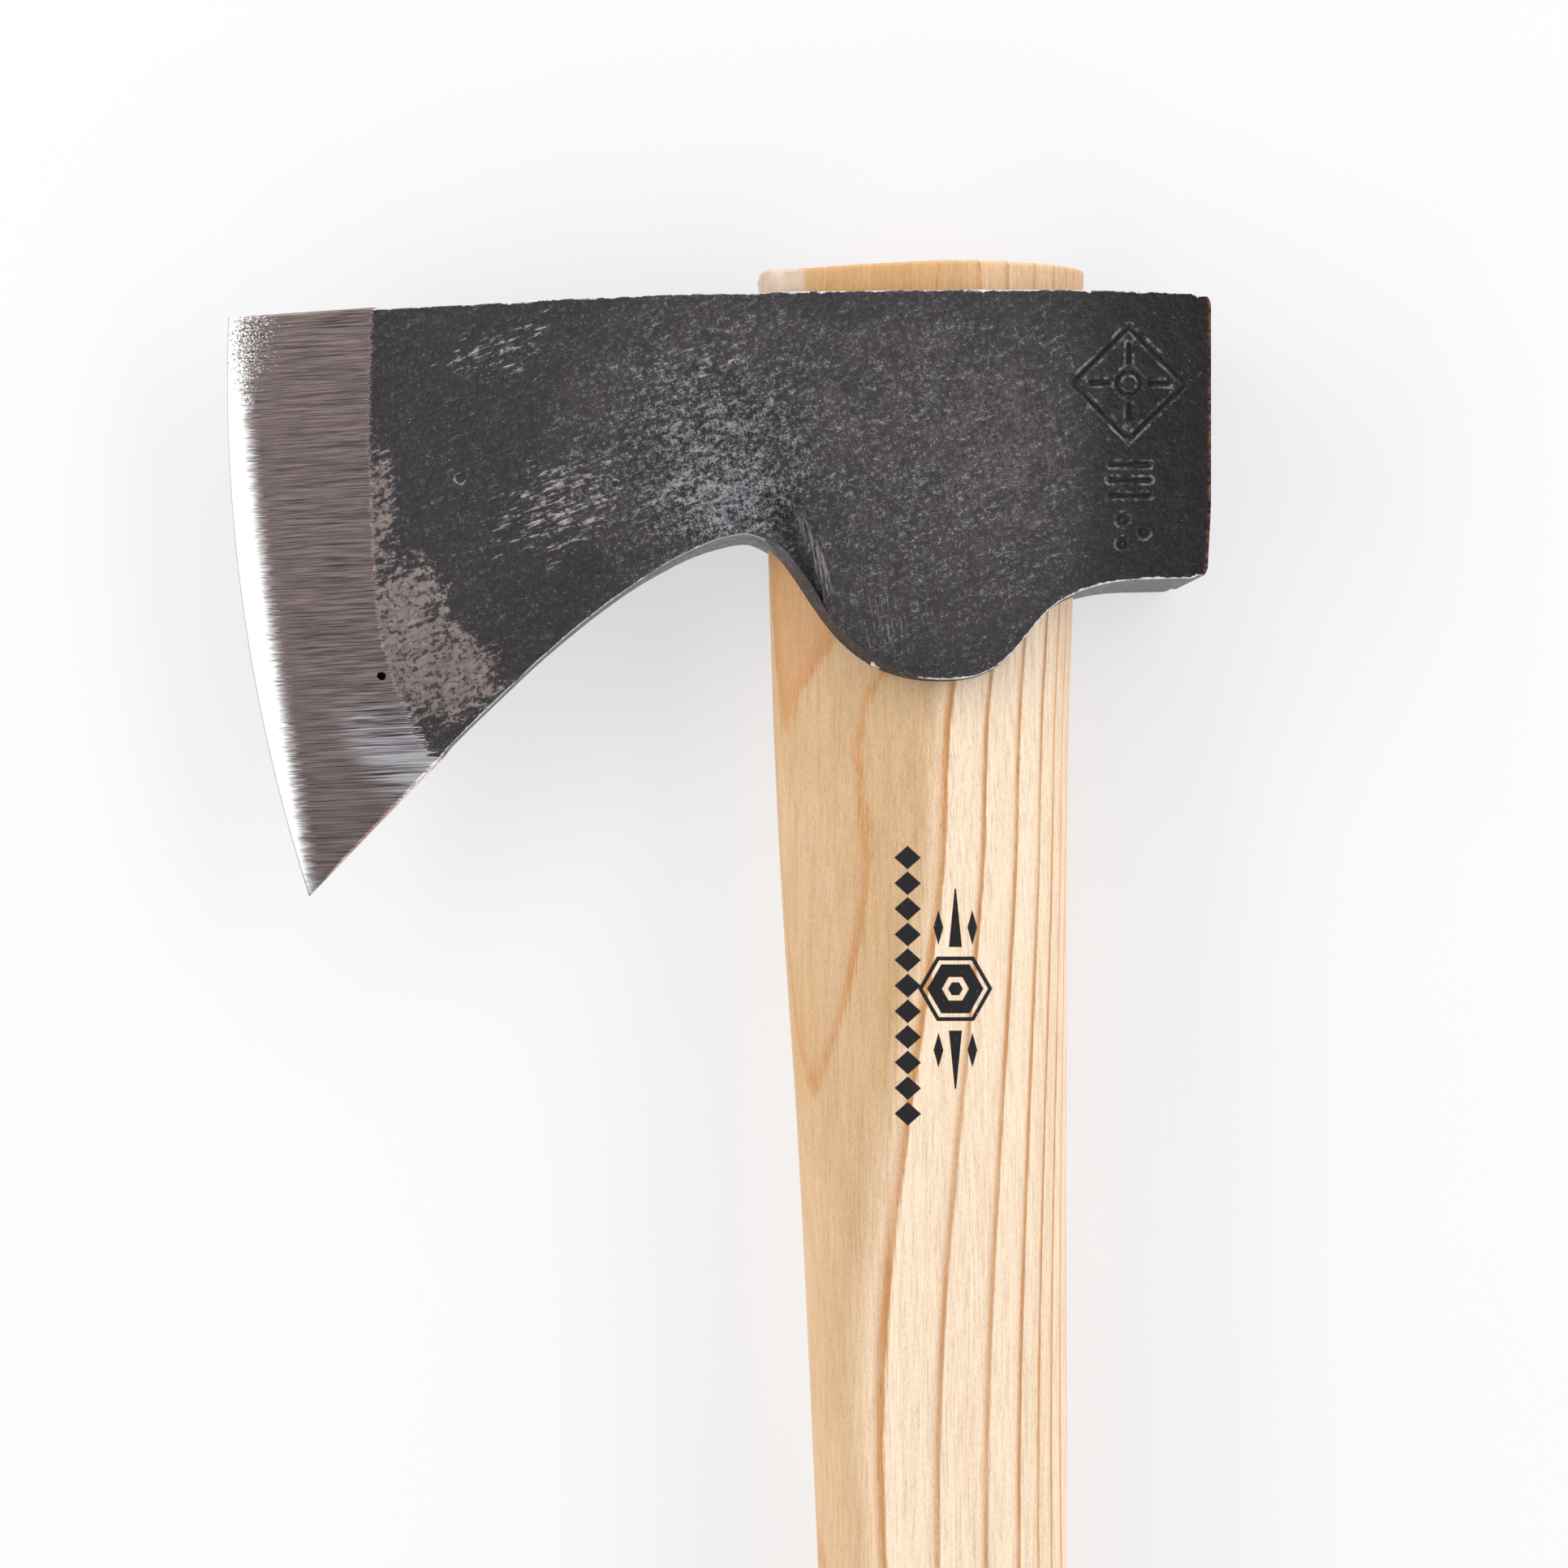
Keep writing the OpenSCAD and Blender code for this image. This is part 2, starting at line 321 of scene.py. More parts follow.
def touch_mark(x, y):
    """Distance from the nearest stroke of the smith's plain marks: a lozenge, tallies and dots."""
    u, v = x - MARK_X, y - MARK_Y
    gap = np.abs(np.abs(u) + np.abs(v) - 7.6) / np.sqrt(2)
    gap = np.minimum(gap, np.abs(np.hypot(u, v) - 1.6))
    for turn in range(4):
        c, s = np.cos(turn * np.pi / 2), np.sin(turn * np.pi / 2)
        gap = np.minimum(gap, segment(u, v, (2.7 * c, 2.7 * s), (5.2 * c, 5.2 * s)))
    for k in (-1, 0, 1):
        row = TALLY_Y + 2.1 * k
        gap = np.minimum(gap, segment(x, y, (25.0, row), (30.4, row)))
    for k in range(3):
        c, s = np.cos(k * 2 * np.pi / 3), np.sin(k * 2 * np.pi / 3)
        gap = np.minimum(gap, np.abs(np.hypot(x - 27.7 - 1.9 * c, y - DOTS_Y - 1.9 * s) - 0.55))
    return gap


STROKE = 0.42
SIDE_ROWS = 128
BLADE_COLS = 130
EYE_COLS = 84
POLL_COLS = 78
WALL_ROWS = 12
EYE_CENTRE_X = 0.2
EYE_EGG = 0.16
EYE_SQUARE = 2.1
LUG_WALL = 0.9
EYE_TOP_L, EYE_TOP_W = 45.2, 21.4
EYE_DEPTH = 53.6
EYE_SLOPE_L, EYE_SLOPE_W = 3.5 / EYE_DEPTH, 0.8 / EYE_DEPTH


def rounded(angle, square):
    """Cosine and sine of an angle, squared off like a superellipse."""
    return [np.sign(v) * np.abs(v) ** (2 / square) for v in (np.cos(angle), np.sin(angle))]


def eye_ring(angle, y):
    """x and half width z of the eye's wall at an angle from the poll side, at height y."""
    down = POLL_HALF_Y - y
    c, s = rounded(angle, EYE_SQUARE)
    length = EYE_TOP_L - EYE_SLOPE_L * down
    width = EYE_TOP_W - EYE_SLOPE_W * down
    return EYE_CENTRE_X + length / 2 * c, width / 2 * s * (1 + EYE_EGG * c)


def eye_half(x):
    """Half width of the eye's wall over x at the lug's height, 0 outside the eye."""
    angle = np.linspace(np.pi, 0, 200)
    ring_x, ring_z = eye_ring(angle, LUG_TIP[1])
    return np.interp(x, ring_x, ring_z, left=0, right=0)


def head_columns():
    """Each column's station, lower end, upper end and bow."""
    share = np.linspace(0, 1, BLADE_COLS + 1)[:-1]
    low_x = mix(HEEL[0], THROAT[0], share)
    high_x = mix(TOE[0], THROAT[0], share)
    body_x = np.concatenate([
        np.linspace(THROAT[0], 19, EYE_COLS + 1)[:-1],
        np.linspace(19, POLL_X - 0.35, POLL_COLS),
    ])
    station = np.concatenate([share, 1 + (body_x - THROAT[0]) / (POLL_X - THROAT[0])])
    low_x = np.concatenate([low_x, body_x])
    high_x = np.concatenate([high_x, body_x])
    low = np.stack([low_x, underside_y(low_x)], -1)
    low[0] = HEEL
    high = np.stack([high_x, top_y(high_x)], -1)
    bow = EDGE_BOW * np.clip(1 - station, 0, 1) ** 2
    return station, low, high, bow


def head_points():
    """The plan grid, columns by rows by 2, with station and distance from the lower rim."""
    station, low, high, bow = head_columns()
    span = np.linalg.norm(high - low, axis=1)
    cut, _ = rim_cut(low[:, 0])
    inner = np.linspace(0, 1, SIDE_ROWS)
    near = np.stack([0 * cut, cut / 2], -1)
    far = np.stack([span - 0.15, span], -1)
    body = (cut[:, None]) + (span - 0.3 - cut)[:, None] * inner
    d = np.hstack([near, body, far])
    v = d / span[:, None]
    along = (high - low) / span[:, None]
    side = np.stack([-along[:, 1], along[:, 0]], -1)
    plan = (
        low[:, None] + along[:, None] * d[..., None]
        + side[:, None] * (bow[:, None] * 4 * v * (1 - v))[..., None]
    )
    return station, plan, d, span


def head_half(station, plan, d, span):
    """Half thickness over the plan grid: hammered faces, ground bevel, honed land and cut rims."""
    x, y = plan[..., 0], plan[..., 1]
    half = forged_half(station[:, None], x, y, d)
    back, v = from_edge(x, y), up_the_edge(x, y)
    for row in range(plan.shape[1]):
        reach = bevel_reach(v[:, row])
        at = np.interp(0, back[:, row] - reach, np.arange(len(back)))
        meet = np.interp(at, np.arange(len(back)), half[:, row])
        land = land_reach(v[:, row]) - 1.0
        slope = (meet - LAND_SLOPE * land) / (reach - land)
        honed = LAND_SLOPE * back[:, row]
        hollow = LAND_SLOPE * land + slope * (back[:, row] - land)
        knee = LAND_KNEE * np.log1p(np.exp(-np.abs(honed - hollow) / LAND_KNEE))
        ground = np.minimum(honed, hollow) - knee * fade(0, 2, back[:, row])
        half[:, row] = np.where(back[:, row] < reach, np.minimum(ground, half[:, row]), half[:, row])
    half = np.maximum(half, 0)
    half[0] = 0
    cut_w, cut_z = rim_cut(plan[:, 0, 0])
    wall = np.maximum(half - eye_half(x) - LUG_WALL, 0.3)
    low_cut = np.clip(1 - d / cut_w[:, None], 0, 1) * np.minimum(cut_z[:, None], 0.35 * half)
    low_cut = np.minimum(low_cut, wall)
    top_cut = np.clip(1 - (span[:, None] - d) / 0.3, 0, 1) * np.minimum(0.3, 0.35 * half)
    return half - low_cut - top_cut


def poll_face(patches, rim_plan, rim_half):
    """The poll's flat face, drawn in by its worn rim and slightly crowned."""
    rim = np.column_stack([rim_plan, rim_half])
    across = np.linspace(1, -1, 2 * WALL_ROWS - 1)[:, None]
    face = np.dstack([
        POLL_X - 0.75 * (rim[:, 1] / POLL_HALF_Y) ** 4 - 0.35 * across**4,
        rim[:, 1] * 0.985 + 0 * across,
        (rim[:, 2] - 0.4) * across,
    ])
    sides = rim[None] * [1, 1, 0] + rim[None] * [0, 0, 1] * across[..., None]
    patches.grid(face)
    for row in (0, -1):
        patches.grid(np.stack([sides[row], face[row]]))
        patches.grid(np.stack([sides[:, row], face[:, row]]))


def eye_angles(col_x):
    """Which columns cross the eye, and the eye's angle at each of them."""
    tip_low, tip_high = eye_ring(np.array([np.pi, 0.0]), POLL_HALF_Y)[0]
    first = int(np.searchsorted(col_x, tip_low))
    last = int(np.searchsorted(col_x, tip_high)) - 1
    share = np.linspace(0, 1, last - first + 1)
    even = np.arccos(np.clip(1 - 2 * share, -1, 1))
    return slice(first, last + 1), np.pi - mix(even, np.pi * share, 0.7)


def end_wall(patches, outer_xy, half, outline, inside, angle):
    """The top or the underside around the eye; returns the eye's rim on it."""
    inner = np.column_stack([outer_xy, 0 * half])
    height = np.full(len(angle), POLL_HALF_Y)
    for _ in range(4):
        ring_x, ring_z = eye_ring(angle, height)
        height = outline(ring_x)
    ring_z[[0, -1]] = 0
    inner[inside] = np.column_stack([ring_x, height, ring_z])
    outer = np.column_stack([outer_xy, half])
    through = np.linspace(0, 1, WALL_ROWS)[:, None, None]
    for side in (1, -1):
        patches.grid(mix(outer[None], inner[None], through) * [1, 1, side])
    return inner[inside]


def eye_tube(patches, top_end, low_end, angle):
    """The eye's wall between its two rims."""
    rows = []
    for t in np.linspace(0, 1, 12):
        y = mix(top_end[:, 1], low_end[:, 1], t)
        ring_x, ring_z = eye_ring(angle, y)
        ring_z[[0, -1]] = 0
        rows.append(np.column_stack([ring_x, y, ring_z]))
    rows[0], rows[-1] = top_end, low_end
    for side in (1, -1):
        patches.grid(np.array(rows) * [1, 1, side])


def head_patches():
    """All faces of the head as grids of points, with z measured from the middle plane."""
    station, plan, d, span = head_points()
    half = head_half(station, plan, d, span)
    patches = Patches()
    for side in (1, -1):
        patches.grid(np.dstack([plan, side * half]))
    poll_face(patches, plan[-1], half[-1])
    inside, angle = eye_angles(plan[:, 0, 0])
    top_end = end_wall(patches, plan[:, -1], half[:, -1], top_y, inside, angle)
    low_end = end_wall(patches, plan[:, 0], half[:, 0], underside_y, inside, angle)
    eye_tube(patches, top_end, low_end, angle)
    return patches


# ---- the head's surface

PITS = [[-74.9, -32.1, 0.8], [-63.9, -4.7, 0.75], [-42.3, -5.6, 0.6]]
MARK_DEPTH = 0.5


def hammered(points):
    """Depth of the hammer marks and the coarse scale, roughest in front of the eye."""
    x, y, _ = points.T
    rough = 1 + 1.3 * blob(x, y, (-27, 1), 22, 26)
    broad = 0.11 * (1 + noise(points, 13, 1)) + 0.05 * (1 + noise(points, 5.5, 2))
    fine = 0.03 * (1 + noise(points, 2.2, 3)) + 0.022 * (1 + noise(points, 1.1, 4))
    return broad + rough * fine


def head_relief(points, normals):
    """How far every point of the plain forging is pushed in, in mm."""
    x, y, z = points.T
    gap = from_edge(x, y) - bevel_reach(up_the_edge(x, y))
    eye = np.hypot((x - EYE_CENTRE_X) / 22.6, (z - MID_Z) / 10.7)
    depth = hammered(points) * fade(0, 2.5, gap) * fade(1.0, 1.15, eye)
    depth = depth * (1 - fade(POLL_X - 3.5, POLL_X - 0.5, x))
    cheek = fade(0.5, 0.9, np.abs(normals[:, 2]))
    upper = cheek * (z > MID_Z)
    depth = depth + cheek * dent_depth(x, y)
    stroke = touch_mark(x, y)
    lip = np.exp(-(((stroke - 0.75) / 0.25) ** 2))
    depth = depth + upper * (MARK_DEPTH * (1 - fade(0.12, STROKE, stroke)) - 0.07 * lip)
    return depth


def round_poll(points):
    """Rounds the poll's two corners in plan and bows its face a little."""
    points = points.copy()
    x, y = points[:, 0], points[:, 1]
    x += fade(30, POLL_X, x) * (0.5 - 0.45 * fade(8, POLL_HALF_Y, -y))
    reach = 2.0
    a = np.clip((x - (POLL_X - 0.9 - reach)) / reach, 0, 1)
    b = np.clip((np.abs(y) - (POLL_HALF_Y - reach)) / reach, 0, 1)
    shrink = np.where((a > 0) & (b > 0), np.maximum(a, b) / np.hypot(a, b).clip(1e-9), 1)
    x -= reach * a * (1 - shrink)
    y -= np.sign(y) * reach * b * (1 - shrink)
    return points


# each row: strength, middle x and y, half length, half width, turn in degrees
WEAR_AND_SHINE_ZONES = {
    "bare": [
        (1, -72.5, -27.5, 8.5, 14, -12),
        (1.1, -66.5, -31.5, 9.5, 8, 0),
        (0.62, -75.2, -9.5, 3.2, 13, 0),
    ],
    "streak": [
        (1, -50, -8.5, 16, 10, 25),
        (0.8, -58, 13, 13, 6.5, 15),
        (0.7, -33, 8, 16, 9, 20),
        (0.95, -32, -7, 13, 7, 22),
    ],
    # shine: the throat's polished zone; besides gloss and relief it places a painted highlight on the
    # scale's colour
    "shine": [(1, -28, -2, 15, 14, 0), (2.2, -26, -8.5, 10, 6.5, 15)],
    "film": [(1, 9, -2, 13, 17, 0), (0.5, -4, 8, 22, 14, 0)],
    "scratch": [(1, -5, -25.5, 8, 6.5, -35), (0.8, -7.5, -11, 7, 3, 0)],
}
SPECK_ROWS = [(0.75, -28, 0, 26, 24, 0), (0.55, 2, -4, 26, 28, 0)]


def strongest(x, y, rows):
    """The strongest of several zones at every point."""
    return np.max([row[0] * blob(x, y, row[1:3], *row[3:]) for row in rows], axis=0)


def head_masks(obj, points, normals):
    """Stores the distances and zones that the steel's material reads."""
    x, y, z = points.T
    v = up_the_edge(x, y)
    back = from_edge(x, y)
    set_masks(obj, bevel_gap=back - bevel_reach(v), land_gap=back - land_reach(v))
    set_masks(obj, edge_gap=back, up_edge=v)
    cheek = np.abs(normals[:, 2]) > 0.25
    rim = np.minimum(y - underside_y(x), top_y(x) - y)
    set_masks(obj, rim_gap=np.where(cheek, np.maximum(rim, 0), 5))
    set_masks(obj, stroke_gap=np.where(z > MID_Z, touch_mark(x, y), 9))
    across = np.minimum(POLL_HALF_Y - np.abs(y), POLL_HALF_Z - np.abs(z - MID_Z))
    face = np.where(x > POLL_X - 1.6, np.clip(across, 0, 9), 9)
    set_masks(obj, poll_gap=np.where(cheek, np.maximum(POLL_X - x, 0), face))
    upper = z > MID_Z
    x, y = np.where(upper, x, x + 6), np.where(upper, y, -y - 12)
    set_masks(obj, **{name: strongest(x, y, rows) for name, rows in WEAR_AND_SHINE_ZONES.items()})
    # fold: the dent's steep flank, where bright striations are laid on, partly a painted highlight of that
    # lit flank
    ridge_x = np.interp(-y, -DENT_RIDGE[:, 1], DENT_RIDGE[:, 0])
    flank = fade(0, 0.8, ridge_x - x) * (1 - fade(1.5, 4, ridge_x - x))
    set_masks(obj, fold=flank * fade(-25, -20, y) * (1 - fade(-12, -8, y)))
    speck = 0.25 + strongest(x, y, SPECK_ROWS)
    behind = 1 - 0.85 * fade(18, 26, x) + 0.8 * fade(POLL_X - 0.8, POLL_X - 0.3, x)
    set_masks(obj, speck=speck * behind)


def head_piece():
    points, faces = head_patches().welded()
    points[:, 2] += MID_Z
    obj = make_mesh("axe_head_forged", points, faces)
    normals = normals_of(obj)
    points = points_of(obj)
    set_points(obj, round_poll(points - normals * head_relief(points, normals)[:, None]))
    obj.data.set_sharp_from_angle(angle=np.radians(38))
    head_masks(obj, points, normals)
    return obj


# ---- the handle, wedge and staple

ROW_Y = [-335.6, -320.5, -290.4, -233.1, -154.7, -94.4, -61.2, -34.1, -31]
ROW_CENTRE = [-1.5, -2.0, 1.0, 4.3, 3.1, 1.6, 0.6, 0.2, 0.2]
ROW_WIDTH = [41, 44, 36.5, 31, 34.8, 37.6, 40, 41.7, 41.9]
ROW_THICK = [26.3, 28.7, 26.5, 25, 25, 25, 24, 20.6, 20.65]
LUG_Y = ROW_Y[-2]
GRIP_SQUARE = 2.35
GRIP_EGG = 0.05
KNOB_ROUND = 9
STUB_DOME = 0.3
FIT_GAP = 0.05
RING = 176
STUB_LINE = [0.6, 0.45, 0.0, 0.0, 0.1, 0.3, 0.2, 0.3]
WEDGE_TOP_HALF, WEDGE_TIP_HALF = 2.5, 0.7
WEDGE_LENGTH, SLAB_ABOVE = 36, 3
WEDGE_TIP_Y = HANDLE_HIGH[1] - WEDGE_LENGTH
KERF_HALF, KERF_PAST = 0.6, 7


def handle_ring(y, shrink=0.0):
    """One closed section of the handle: the eye's egg at the top, a squarer oval below the lugs."""
    below = fade(0, 55, LUG_Y - y)
    square = mix(EYE_SQUARE, GRIP_SQUARE, below)
    egg = mix(EYE_EGG, GRIP_EGG, below)
    if y > LUG_Y:
        centre = EYE_CENTRE_X
        width = EYE_TOP_L - EYE_SLOPE_L * (POLL_HALF_Y - y)
        thick = EYE_TOP_W - EYE_SLOPE_W * (POLL_HALF_Y - y)
    else:
        centre, width, thick = (curve(ROW_Y, row, y) for row in (ROW_CENTRE, ROW_WIDTH, ROW_THICK))
    gap = 2 * FIT_GAP * (1 - below) + 2 * shrink
    c, s = rounded(np.linspace(0, 2 * np.pi, RING, endpoint=False), square)
    x = centre + (width - gap) / 2 * c
    z = MID_Z + (thick - gap) / 2 * s * (1 + egg * c)
    return np.column_stack([x, np.full(RING, float(y)), z])


def cap(ring, rise, steps):
    """Rings that close a section with a low dome, down to its middle."""
    middle = ring.mean(0)
    rows = []
    for share in np.linspace(1, 0, steps + 1)[1:]:
        row = middle + (ring - middle) * share
        row[:, 1] = ring[0, 1] + rise * (1 - share * share)
        rows.append(row)
    return rows


def handle_rows():
    """All rings of the uncut handle, from the middle of its top to the middle of the knob's end."""
    stub_y = HANDLE_HIGH[1] - STUB_DOME
    knob_y = HANDLE_LOW[1] + KNOB_ROUND
    rim = [handle_ring(stub_y - 0.5 * (1 - np.sin(a)), 0.5 * (1 - np.cos(a)))
           for a in np.radians([75, 50, 25, 0])]
    rows = cap(rim[0], STUB_DOME, 22)[::-1] + rim
    rows += [handle_ring(y) for y in np.linspace(stub_y - 0.9, LUG_Y, 60)]
    rows += [handle_ring(y) for y in np.linspace(LUG_Y - 1.2, knob_y, 225)]
    for a in np.radians(np.linspace(9, 78, 9)):
        rows.append(handle_ring(knob_y - KNOB_ROUND * np.sin(a), KNOB_ROUND * (1 - np.cos(a))))
    return rows + cap(rows[-1], -0.3, 14)


def stub_damage(points):
    """The uneven sawn top of the stub and its torn front end, as moves in mm."""
    x, y, z = points.T
    top = fade(POLL_HALF_Y + 1, HANDLE_HIGH[1] - 0.6, y)
    front = 1 - fade(-18.5, -15.5, x)
    line = curve([-23, -20, -16.3, -10.8, -4.2, 4.7, 13.6, 23], STUB_LINE, x)
    lift = line + 0.08 * noise(points, (0.9, 50, 0.6), 22)
    lift = lift + front * 0.45 * (noise(points, (1.6, 50, 2.0), 21) - 0.3)
    lift = lift + 0.2 * fade(20.5, 22.5, x)
    move = np.zeros_like(points)
    move[:, 1] = top * lift
    ragged = noise(points, (2.5, 1.2, 1.6), 23)
    move[:, 0] = fade(POLL_HALF_Y + 0.2, POLL_HALF_Y + 1.2, y) * front * 0.5 * (ragged - 0.5)
    return move


def blank(name):
    """The handle before the wedge and staple are cut into it."""
    patches = Patches()
    patches.grid(np.array(handle_rows()), wrap=True)
    points, faces = patches.welded(5)
    points = points + stub_damage(points)
    low_flat = 0.035 * noise(points, (9, 40, 9), 31)
    points[:, 0] += low_flat * (points[:, 1] < LUG_Y)
    return make_mesh(name, points, faces)


def prism(name, outline, half, place):
    """A closed block: an outline in x and y, pulled to both sides by half along z, then placed."""
    outline = np.asarray(outline, float)
    n = len(outline)
    sides = [np.column_stack([outline, np.full(n, z)]) for z in (-half, half)]
    points = place(np.vstack(sides))
    faces = [list(range(n))[::-1], list(range(n, 2 * n))]
    faces += [[k, (k + 1) % n, n + (k + 1) % n, n + k] for k in range(n)]
    return make_mesh(name, points, faces)


def along_the_eye(points):
    """Turns an outline of (z, y) so that it runs along the eye in x."""
    return np.column_stack([points[:, 2], points[:, 1], points[:, 0] + MID_Z])


def slab(name, gap, kerf):
    """The wedge's taper, with the saw kerf below it if asked."""
    top = HANDLE_HIGH[1] + SLAB_ABOVE
    wide = WEDGE_TOP_HALF + (WEDGE_TOP_HALF - WEDGE_TIP_HALF) * SLAB_ABOVE / WEDGE_LENGTH + gap
    tip = WEDGE_TIP_HALF + gap
    half = [[wide, top], [tip, WEDGE_TIP_Y]]
    if kerf:
        half += [[KERF_HALF, WEDGE_TIP_Y], [KERF_HALF, WEDGE_TIP_Y - KERF_PAST]]
    outline = half + [[-x, y] for x, y in half[::-1]]
    return prism(name, outline, 40, along_the_eye)


STAPLE_AT = np.array([2, HANDLE_HIGH[1] - 0.1, MID_Z])
STAPLE_TURN = np.radians(32)
STAPLE_HALF_T = 0.8
CROWN_H, LEG_W, LEG_L, STAPLE_W = 2.4, 3, 14, 19


def staple_outline(gap, above=0.0):
    """Three pointed legs under one crown; above makes the crown taller, to open a slot for it."""
    pitch, half = (STAPLE_W - LEG_W) / 2, LEG_W / 2 + gap
    low, tip = -CROWN_H - gap, -CROWN_H - LEG_L - gap
    outline = []
    for x in (-pitch, 0, pitch):
        outline += [[x - half, low], [x - half, tip + LEG_W], [x, tip]]
        outline += [[x + half, tip + LEG_W], [x + half, low]]
    return outline + [[pitch + half, above], [-pitch - half, above]]


def place_staple(points):
    c, s = np.cos(STAPLE_TURN), np.sin(STAPLE_TURN)
    x, y, z = points.T
    return np.column_stack([x * c + z * s, y, -x * s + z * c]) + STAPLE_AT


def apply(obj, modifier):
    """Turns the modified shape into the object's own mesh."""
    graph = bpy.context.evaluated_depsgraph_get()
    made = bpy.data.meshes.new_from_object(obj.evaluated_get(graph))
    obj.modifiers.remove(modifier)
    obj.data = made


def cut(obj, tool, operation):
    """Applies a boolean with another mesh, and keeps the tool."""
    modifier = obj.modifiers.new("cut", "BOOLEAN")
    modifier.operation = operation
    modifier.solver = "MANIFOLD"
    modifier.object = tool
    apply(obj, modifier)


def discard(*objs):
    for obj in objs:
        bpy.data.objects.remove(obj)


def soften_edges(obj, width):
    """Rounds the edges of a small plain piece."""
    modifier = obj.modifiers.new("round", "BEVEL")
    modifier.width = width * MM
    modifier.segments = 3
    modifier.limit_method = "ANGLE"
    modifier.angle_limit = np.radians(30)
    apply(obj, modifier)


def wooden_masks(obj):
    """Marks the faces that cut across the grain."""
    set_masks(obj, end_grain=fade(0.8, 0.95, np.abs(normals_of(obj)[:, 1])))


def handle_pieces():
    """The cut handle, the wedge in its slot and the staple across both."""
    handle = blank("handle_hickory")
    wedge = blank("wood_wedge_driven")
    slot_tool = slab("slot_tool", FIT_GAP, True)
    wedge_tool = slab("wedge_tool", 0, False)
    slot_outline = staple_outline(FIT_GAP, above=SLAB_ABOVE)
    staple_tool = prism("staple_tool", slot_outline, STAPLE_HALF_T + FIT_GAP, place_staple)
    cut(handle, slot_tool, "DIFFERENCE")
    cut(handle, staple_tool, "DIFFERENCE")
    cut(wedge, wedge_tool, "INTERSECT")
    cut(wedge, staple_tool, "DIFFERENCE")
    staple = prism("lock_staple_driven", staple_outline(0), STAPLE_HALF_T, place_staple)
    soften_edges(staple, 0.18)
    discard(slot_tool, wedge_tool, staple_tool)
    for piece in (handle, wedge, staple):
        piece.data.shade_smooth()
        piece.data.set_sharp_from_angle(angle=np.radians(35))
    wooden_masks(handle)
    wooden_masks(wedge)
    return handle, wedge, staple


# ---- shader helpers


def math_method(operation):
    """A method that adds one Math node."""
    def method(self, *others):
        return self.math(operation, *others)

    return method


class Value:
    """A number or colour inside a material: arithmetic on it adds Math nodes."""

    def __init__(self, tree, socket):
        self.tree, self.socket = tree, socket

    def math(self, operation, *others):
        node = self.tree.nodes.new("ShaderNodeMath")
        node.operation = operation
        for socket, value in zip(node.inputs, (self, *others)):
            feed(self.tree, value, socket)
        return Value(self.tree, node.outputs[0])

    __add__ = __radd__ = math_method("ADD")
    __sub__ = math_method("SUBTRACT")
    __mul__ = __rmul__ = math_method("MULTIPLY")
    __truediv__ = math_method("DIVIDE")
    __pow__ = math_method("POWER")
    __abs__ = math_method("ABSOLUTE")
    least = math_method("MINIMUM")
    most = math_method("MAXIMUM")

    def __rsub__(self, other):
        return self * -1 + other

    def fade(self, low, high, start=0.0, end=1.0):
        """start below low, end above high, smooth between."""
        node = self.tree.nodes.new("ShaderNodeMapRange")
        node.interpolation_type = "SMOOTHSTEP"
        for name, value in zip(("Value", "From Min", "From Max"), (self, low, high)):
            feed(self.tree, value, node.inputs[name])
        feed(self.tree, start, node.inputs["To Min"])
        feed(self.tree, end, node.inputs["To Max"])
        return Value(self.tree, node.outputs["Result"])


def feed(tree, value, socket):
    """Links a Value, or sets a plain number or colour."""
    if isinstance(value, Value):
        tree.links.new(value.socket, socket)
    elif isinstance(value, tuple):
        socket.default_value = (*value, 1.0) if len(socket.default_value) == 4 else value
    else:
        socket.default_value = value


